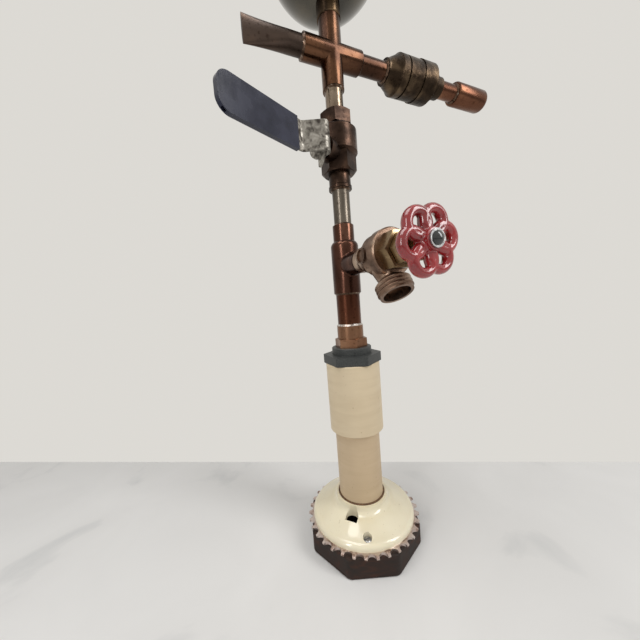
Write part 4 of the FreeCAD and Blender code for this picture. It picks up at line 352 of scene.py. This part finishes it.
dress(aged_metal("bronzed_adapter", (0.068, 0.034, 0.0204), (0.204, 0.102, 0.0578), (0.354, 0.204, 0.122),
                 roughness=0.30), "copper_adapter")
dress(aged_metal("red_brown_copper", (0.0306, 0.0109, 0.0068), (0.0782, 0.0286, 0.0163),
                 (0.177, 0.0714, 0.0374), roughness=0.26), "lower_riser_tube")
dress(aged_metal("dark_shiny_copper", (0.0306, 0.0136, 0.00952), (0.0748, 0.034, 0.0231),
                 (0.204, 0.102, 0.068), roughness=0.18), "branch_tee")
dress(aged_metal("pinkish_stub_copper", (0.068, 0.0374, 0.0272), (0.204, 0.122, 0.0884),
                 (0.374, 0.252, 0.19), roughness=0.24, stretch=(1, 0.25, 1)), "branch_stub_tube")
dress(aged_metal("grey_brown_pipe", (0.0306, 0.0258, 0.0218), (0.0952, 0.0802, 0.0646),
                 (0.218, 0.187, 0.153), roughness=0.30), "middle_riser_tube")
dress(aged_metal("bright_bronze_pipe", (0.0476, 0.034, 0.0258), (0.177, 0.129, 0.0918),
                 (0.422, 0.34, 0.258), roughness=0.18), "upper_riser_tube")
dress(aged_metal("orange_copper", (0.0231, 0.0122, 0.00816), (0.0598, 0.0286, 0.0177),
                 (0.218, 0.105, 0.0544), roughness=0.22, stretch=(0.3, 1, 0.3)), "copper_cross",
      "right_arm_tube")
dress(aged_metal("brown_flattened_copper", (0.034, 0.0245, 0.0197), (0.0884, 0.0626, 0.0503),
                 (0.204, 0.122, 0.0816), roughness=0.30, stretch=(0.3, 1, 0.6)), "left_arm_tube")
dress(aged_metal("bright_copper_end", (0.0476, 0.019, 0.0116), (0.136, 0.0585, 0.034),
                 (0.394, 0.197, 0.109), roughness=0.22, stretch=(0.3, 1, 1)), "arm_end_tube",
      "arm_end_cap")
dress(aged_metal("browned_adapter", (0.0231, 0.0177, 0.0129), (0.0558, 0.0374, 0.0245),
                 (0.204, 0.129, 0.068), roughness=0.28), "top_adapter")

# The solder at the joints: thin lumpy rings with a dull skin, silvery low down and dark brown
# above the height BROWNED_ABOVE.
BROWNED_ABOVE = 0.215

material, tree, surface, place = start_material("solder_skin", (0.60, 0.58, 0.55), roughness=0.34,
                                                metallic=1.0)
skin = clouds(tree, place, per_metre=300, detail=6)
silvery = shades(tree, skin, (0.35, (0.30, 0.24, 0.20)), (0.6, (0.74, 0.72, 0.69)))
browned = shades(tree, skin, (0.35, (0.030, 0.018, 0.012)), (0.62, (0.15, 0.095, 0.065)),
                 (0.74, (0.50, 0.44, 0.38)))
axes = tree.nodes.new("ShaderNodeSeparateXYZ")
tree.links.new(place, axes.inputs["Vector"])
upper = tree.nodes.new("ShaderNodeMath")
upper.operation = "GREATER_THAN"
upper.inputs[1].default_value = BROWNED_ABOVE
tree.links.new(axes.outputs["Z"], upper.inputs[0])
tree.links.new(blended(tree, upper.outputs["Value"], silvery, browned), surface.inputs["Base Color"])
relief(tree, surface, skin, depth_mm=0.2)
dress(material, "solder_rings")

# The drain tap on the tee's stub: cast pinkish brass, grainy where it was left as cast and gold on
# its machined rims and nuts. The bare brass inside the lamp has the same gold.
dress(aged_metal("cast_tap_brass", (0.0748, 0.0449, 0.0306), (0.218, 0.139, 0.0986), (0.435, 0.326, 0.245),
                 roughness=0.33, stretch=(1, 1, 1), clouding=60, pits_mm=0.16), "drain_body")
dress(aged_metal("gold_rim_brass", (0.0952, 0.0578, 0.0286), (0.258, 0.177, 0.0952), (0.49, 0.374, 0.224),
                 roughness=0.26, stretch=(1, 1, 1)), "drain_bonnet", "packing_nut", "drain_stem",
      "check_poppet", "screw_sleeve", "centre_contact")

# The packing round the tap's stem and the washer that closes its seat: black rubber with a dusty
# bloom.
material, tree, surface, place = start_material("black_rubber", (0.020, 0.020, 0.020), roughness=0.7)
bloom = clouds(tree, place, per_metre=260, detail=4)
paint(tree, surface, bloom, (0.4, (0.012, 0.012, 0.012)), (0.7, (0.06, 0.058, 0.055)))
relief(tree, surface, bloom, depth_mm=0.05)
dress(material, "stem_packing", "seat_washer")

# The handwheel: six open loops cast round a hub in one piece, under thick glossy red paint with
# sags and small craters. It stands in the plain wheel's place and turns with the tap's stem.
WHEEL_MIDDLE = Vector((0, -0.102, 0.263))
WHEEL_TURN = 9
LOOPS = 6
LOOP_PLACE = 0.0125
LOOP_RADIUS = 0.0076
LOOP_TUBE = 0.0033
LOOP_DEPTH_SHARE = 1.15
ROUND_SEGMENTS = 64
TUBE_SEGMENTS = 24
HUB_RADIUS = 0.0068
HUB_REAR = -0.0966
HUB_FRONT = -0.1086
CASTING_STEP = 0.0006
SMOOTHING = 0.5
SMOOTHING_ROUNDS = 4

material, tree, surface, place = start_material("red_gloss_paint", (0.42, 0.012, 0.014), roughness=0.16)
coat = clouds(tree, place, per_metre=75, detail=4)
tone = shades(tree, coat, (0.3, (0.17, 0.008, 0.011)), (0.55, (0.31, 0.014, 0.018)),
              (0.75, (0.42, 0.034, 0.036)))
chips = clouds(tree, place, per_metre=430, detail=4)
chipped = shades(tree, chips, (0.25, (0.25, 0.12, 0.12)), (0.31, (1.0, 1.0, 1.0)))
tree.links.new(blended(tree, 0.9, tone, chipped, "MULTIPLY"), surface.inputs["Base Color"])
glaze(surface, weight=0.8, roughness=0.08)
relief(tree, surface, coat, depth_mm=0.5)
dress(material, "handwheel")

bpy.ops.object.select_all(action="DESELECT")
bpy.ops.mesh.primitive_cylinder_add(vertices=ROUND_SEGMENTS, radius=HUB_RADIUS, depth=HUB_REAR - HUB_FRONT,
                                    location=(0, (HUB_REAR + HUB_FRONT) / 2, WHEEL_MIDDLE.z),
                                    rotation=(math.radians(90), 0, 0))
cast_wheel = bpy.context.object
cast_wheel.name = "cast_wheel"
bpy.ops.object.transform_apply(location=True, rotation=True, scale=True)
for lobe in range(LOOPS):
    around = math.radians(WHEEL_TURN + lobe * 360 / LOOPS)
    outward = Vector((math.cos(around), 0, math.sin(around)))
    bpy.ops.object.select_all(action="DESELECT")
    bpy.ops.mesh.primitive_torus_add(major_radius=LOOP_RADIUS, minor_radius=LOOP_TUBE,
                                     major_segments=ROUND_SEGMENTS, minor_segments=TUBE_SEGMENTS,
                                     location=WHEEL_MIDDLE + LOOP_PLACE * outward,
                                     rotation=(math.radians(90), 0, 0))
    loop = bpy.context.object
    loop.scale = (1, 1, LOOP_DEPTH_SHARE)
    bpy.ops.object.transform_apply(location=True, rotation=True, scale=True)
    cast_wheel.select_set(True)
    bpy.context.view_layer.objects.active = cast_wheel
    bpy.ops.object.join()
casting = cast_wheel.modifiers.new("casting", "REMESH")
casting.mode = "VOXEL"
casting.voxel_size = CASTING_STEP
bpy.ops.object.modifier_apply(modifier="casting")
soft_edges = cast_wheel.modifiers.new("soft_edges", "SMOOTH")
soft_edges.factor = SMOOTHING
soft_edges.iterations = SMOOTHING_ROUNDS
bpy.ops.object.modifier_apply(modifier="soft_edges")
bpy.ops.object.shade_smooth()
cast_wheel.data.materials.clear()
cast_wheel.data.materials.append(material)
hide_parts("handwheel")
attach(cast_wheel, "tap_wheel")

# The screw that holds the wheel on its stem: a low dome, black and glossy, with a faint haze.
# It turns with the wheel.
material, tree, surface, place = start_material("black_gloss_dome", (0.012, 0.013, 0.014), roughness=0.15)
haze = clouds(tree, place, per_metre=500, detail=3)
paint(tree, surface, haze, (0.4, (0.008, 0.009, 0.010)), (0.8, (0.04, 0.04, 0.042)))
glaze(surface, weight=0.6, roughness=0.05)
dress(material, "handwheel_screw")

# The ball valve in the column: a body and an end screwed together, cast in dark bronze, oily brown
# with dull red where the heat reached it.
dress(aged_metal("dark_valve_bronze", (0.0177, 0.0109, 0.00816), (0.0449, 0.0272, 0.0197),
                 (0.116, 0.0666, 0.0449), roughness=0.30, stretch=(1, 1, 1), clouding=70, pits_mm=0.14),
      "ball_valve_body", "ball_valve_end", "gland_nut", "ball_stem")

# The ball inside the valve: chromed and polished, and held between two waxy white plastic seats.
# The lever turns it on its stem.
material, tree, surface, place = start_material("chromed_ball", (0.80, 0.80, 0.80), roughness=0.08,
                                                metallic=1.0)
sheen = clouds(tree, place, per_metre=300, detail=3)
polish(tree, surface, sheen, at_low=0.05, at_high=0.14)
dress(material, "valve_ball")
material, tree, surface, place = start_material("white_seat_plastic", (0.80, 0.79, 0.76), roughness=0.45)
waxy = clouds(tree, place, per_metre=120, detail=3)
paint(tree, surface, waxy, (0.3, (0.70, 0.69, 0.65)), (0.7, (0.84, 0.83, 0.80)))
dress(material, "lower_ball_seat", "upper_ball_seat")

# The lever on the valve's stem: a bent steel strip, galvanised, its zinc mottled grey and white and
# stained brown in places.
material, tree, surface, place = start_material("mottled_galvanised", (0.328, 0.32, 0.304), roughness=0.45,
                                                metallic=0.85)
mottle = clouds(tree, place, per_metre=210, detail=8, twist=0.8)
paint(tree, surface, mottle, (0.34, (0.0468, 0.039, 0.0328)), (0.47, (0.187, 0.172, 0.148)),
      (0.66, (0.374, 0.351, 0.312)))
polish(tree, surface, mottle, at_low=0.6, at_high=0.36)
relief(tree, surface, mottle, depth_mm=0.15)
dress(material, "valve_lever")

# The lever's grip: a vinyl sleeve that the steel was dipped in, dark navy and half glossy, with
# faint lines across it.
material, tree, surface, place = start_material("navy_vinyl", (0.014, 0.017, 0.038), roughness=0.24)
ripple = clouds(tree, place, per_metre=90, detail=3)
paint(tree, surface, ripple, (0.3, (0.010, 0.012, 0.028)), (0.7, (0.019, 0.022, 0.046)))
polish(tree, surface, ripple, at_low=0.20, at_high=0.34)
surface.inputs["Specular IOR Level"].default_value = 0.3
glaze(surface, weight=0.12, roughness=0.08)
cross_lines = clouds(tree, place, per_metre=330, detail=2, stretch=(1, 0.04, 0.04))
relief(tree, surface, cross_lines, depth_mm=0.05)
dress(material, "lever_sleeve")

# The check valve in the right arm: a body and an end screwed together, olive brown cast brass, and
# inside it a spring of bright drawn wire.
dress(aged_metal("olive_cast_brass", (0.015, 0.0102, 0.0068), (0.0422, 0.0279, 0.0177),
                 (0.163, 0.112, 0.068), roughness=0.34, stretch=(1, 1, 1), clouding=70, pits_mm=0.3),
      "check_valve_body", "check_valve_end")
material, tree, surface, place = start_material("bright_spring_wire", (0.66, 0.66, 0.66), roughness=0.25,
                                                metallic=1.0)
drawn = clouds(tree, place, per_metre=700, detail=3)
polish(tree, surface, drawn, at_low=0.2, at_high=0.36)
dress(material, "check_spring")

# The lamp bowl: spun metal, blackened and polished to a smoky bronze gloss, with rings left by the
# spinning tool and cloudy brown patches.
material, tree, surface, place = start_material("smoky_bronze_gloss", (0.078, 0.0663, 0.0507),
                                                roughness=0.16, metallic=1.0)
smoke = clouds(tree, place, per_metre=16, detail=5, twist=0.5)
paint(tree, surface, smoke, (0.3, (0.0351, 0.0335, 0.0296)), (0.52, (0.0741, 0.0671, 0.053)),
      (0.75, (0.14, 0.113, 0.078)))
spun = clouds(tree, place, per_metre=300, detail=2, stretch=(0.03, 0.03, 1))
polish(tree, surface, spun, at_low=0.10, at_high=0.22)
glaze(surface, weight=0.5, roughness=0.05)
relief(tree, surface, spun, depth_mm=0.03)
dress(material, "lamp_bowl")

# The lampholder in the bowl: white porcelain with a clear glaze, screwed down on the nipple.
# The glaze is a little milky.
material, tree, surface, place = start_material("white_porcelain", (0.82, 0.81, 0.77), roughness=0.18)
milky = clouds(tree, place, per_metre=60, detail=3)
paint(tree, surface, milky, (0.3, (0.74, 0.73, 0.68)), (0.7, (0.84, 0.83, 0.80)))
glaze(surface, weight=0.5, roughness=0.08)
dress(material, "lampholder_body")

# The bulb: a clear glass globe with a glass mount inside it that carries a dull wound filament.
# The glass has a faint film of dust.
material, tree, surface, place = start_material("clear_bulb_glass", (0.98, 0.97, 0.94), roughness=0.03)
surface.inputs["Transmission Weight"].default_value = 1.0
surface.inputs["IOR"].default_value = 1.45
film = clouds(tree, place, per_metre=25, detail=3)
paint(tree, surface, film, (0.3, (0.95, 0.93, 0.88)), (0.7, (0.99, 0.98, 0.96)))
dress(material, "bulb_glass", "bulb_mount")
material, tree, surface, place = start_material("filament_wire", (0.20, 0.17, 0.14), roughness=0.4,
                                                metallic=1.0)
soot = clouds(tree, place, per_metre=900, detail=3)
paint(tree, surface, soot, (0.3, (0.10, 0.08, 0.07)), (0.7, (0.32, 0.28, 0.24)))
dress(material, "bulb_filament")
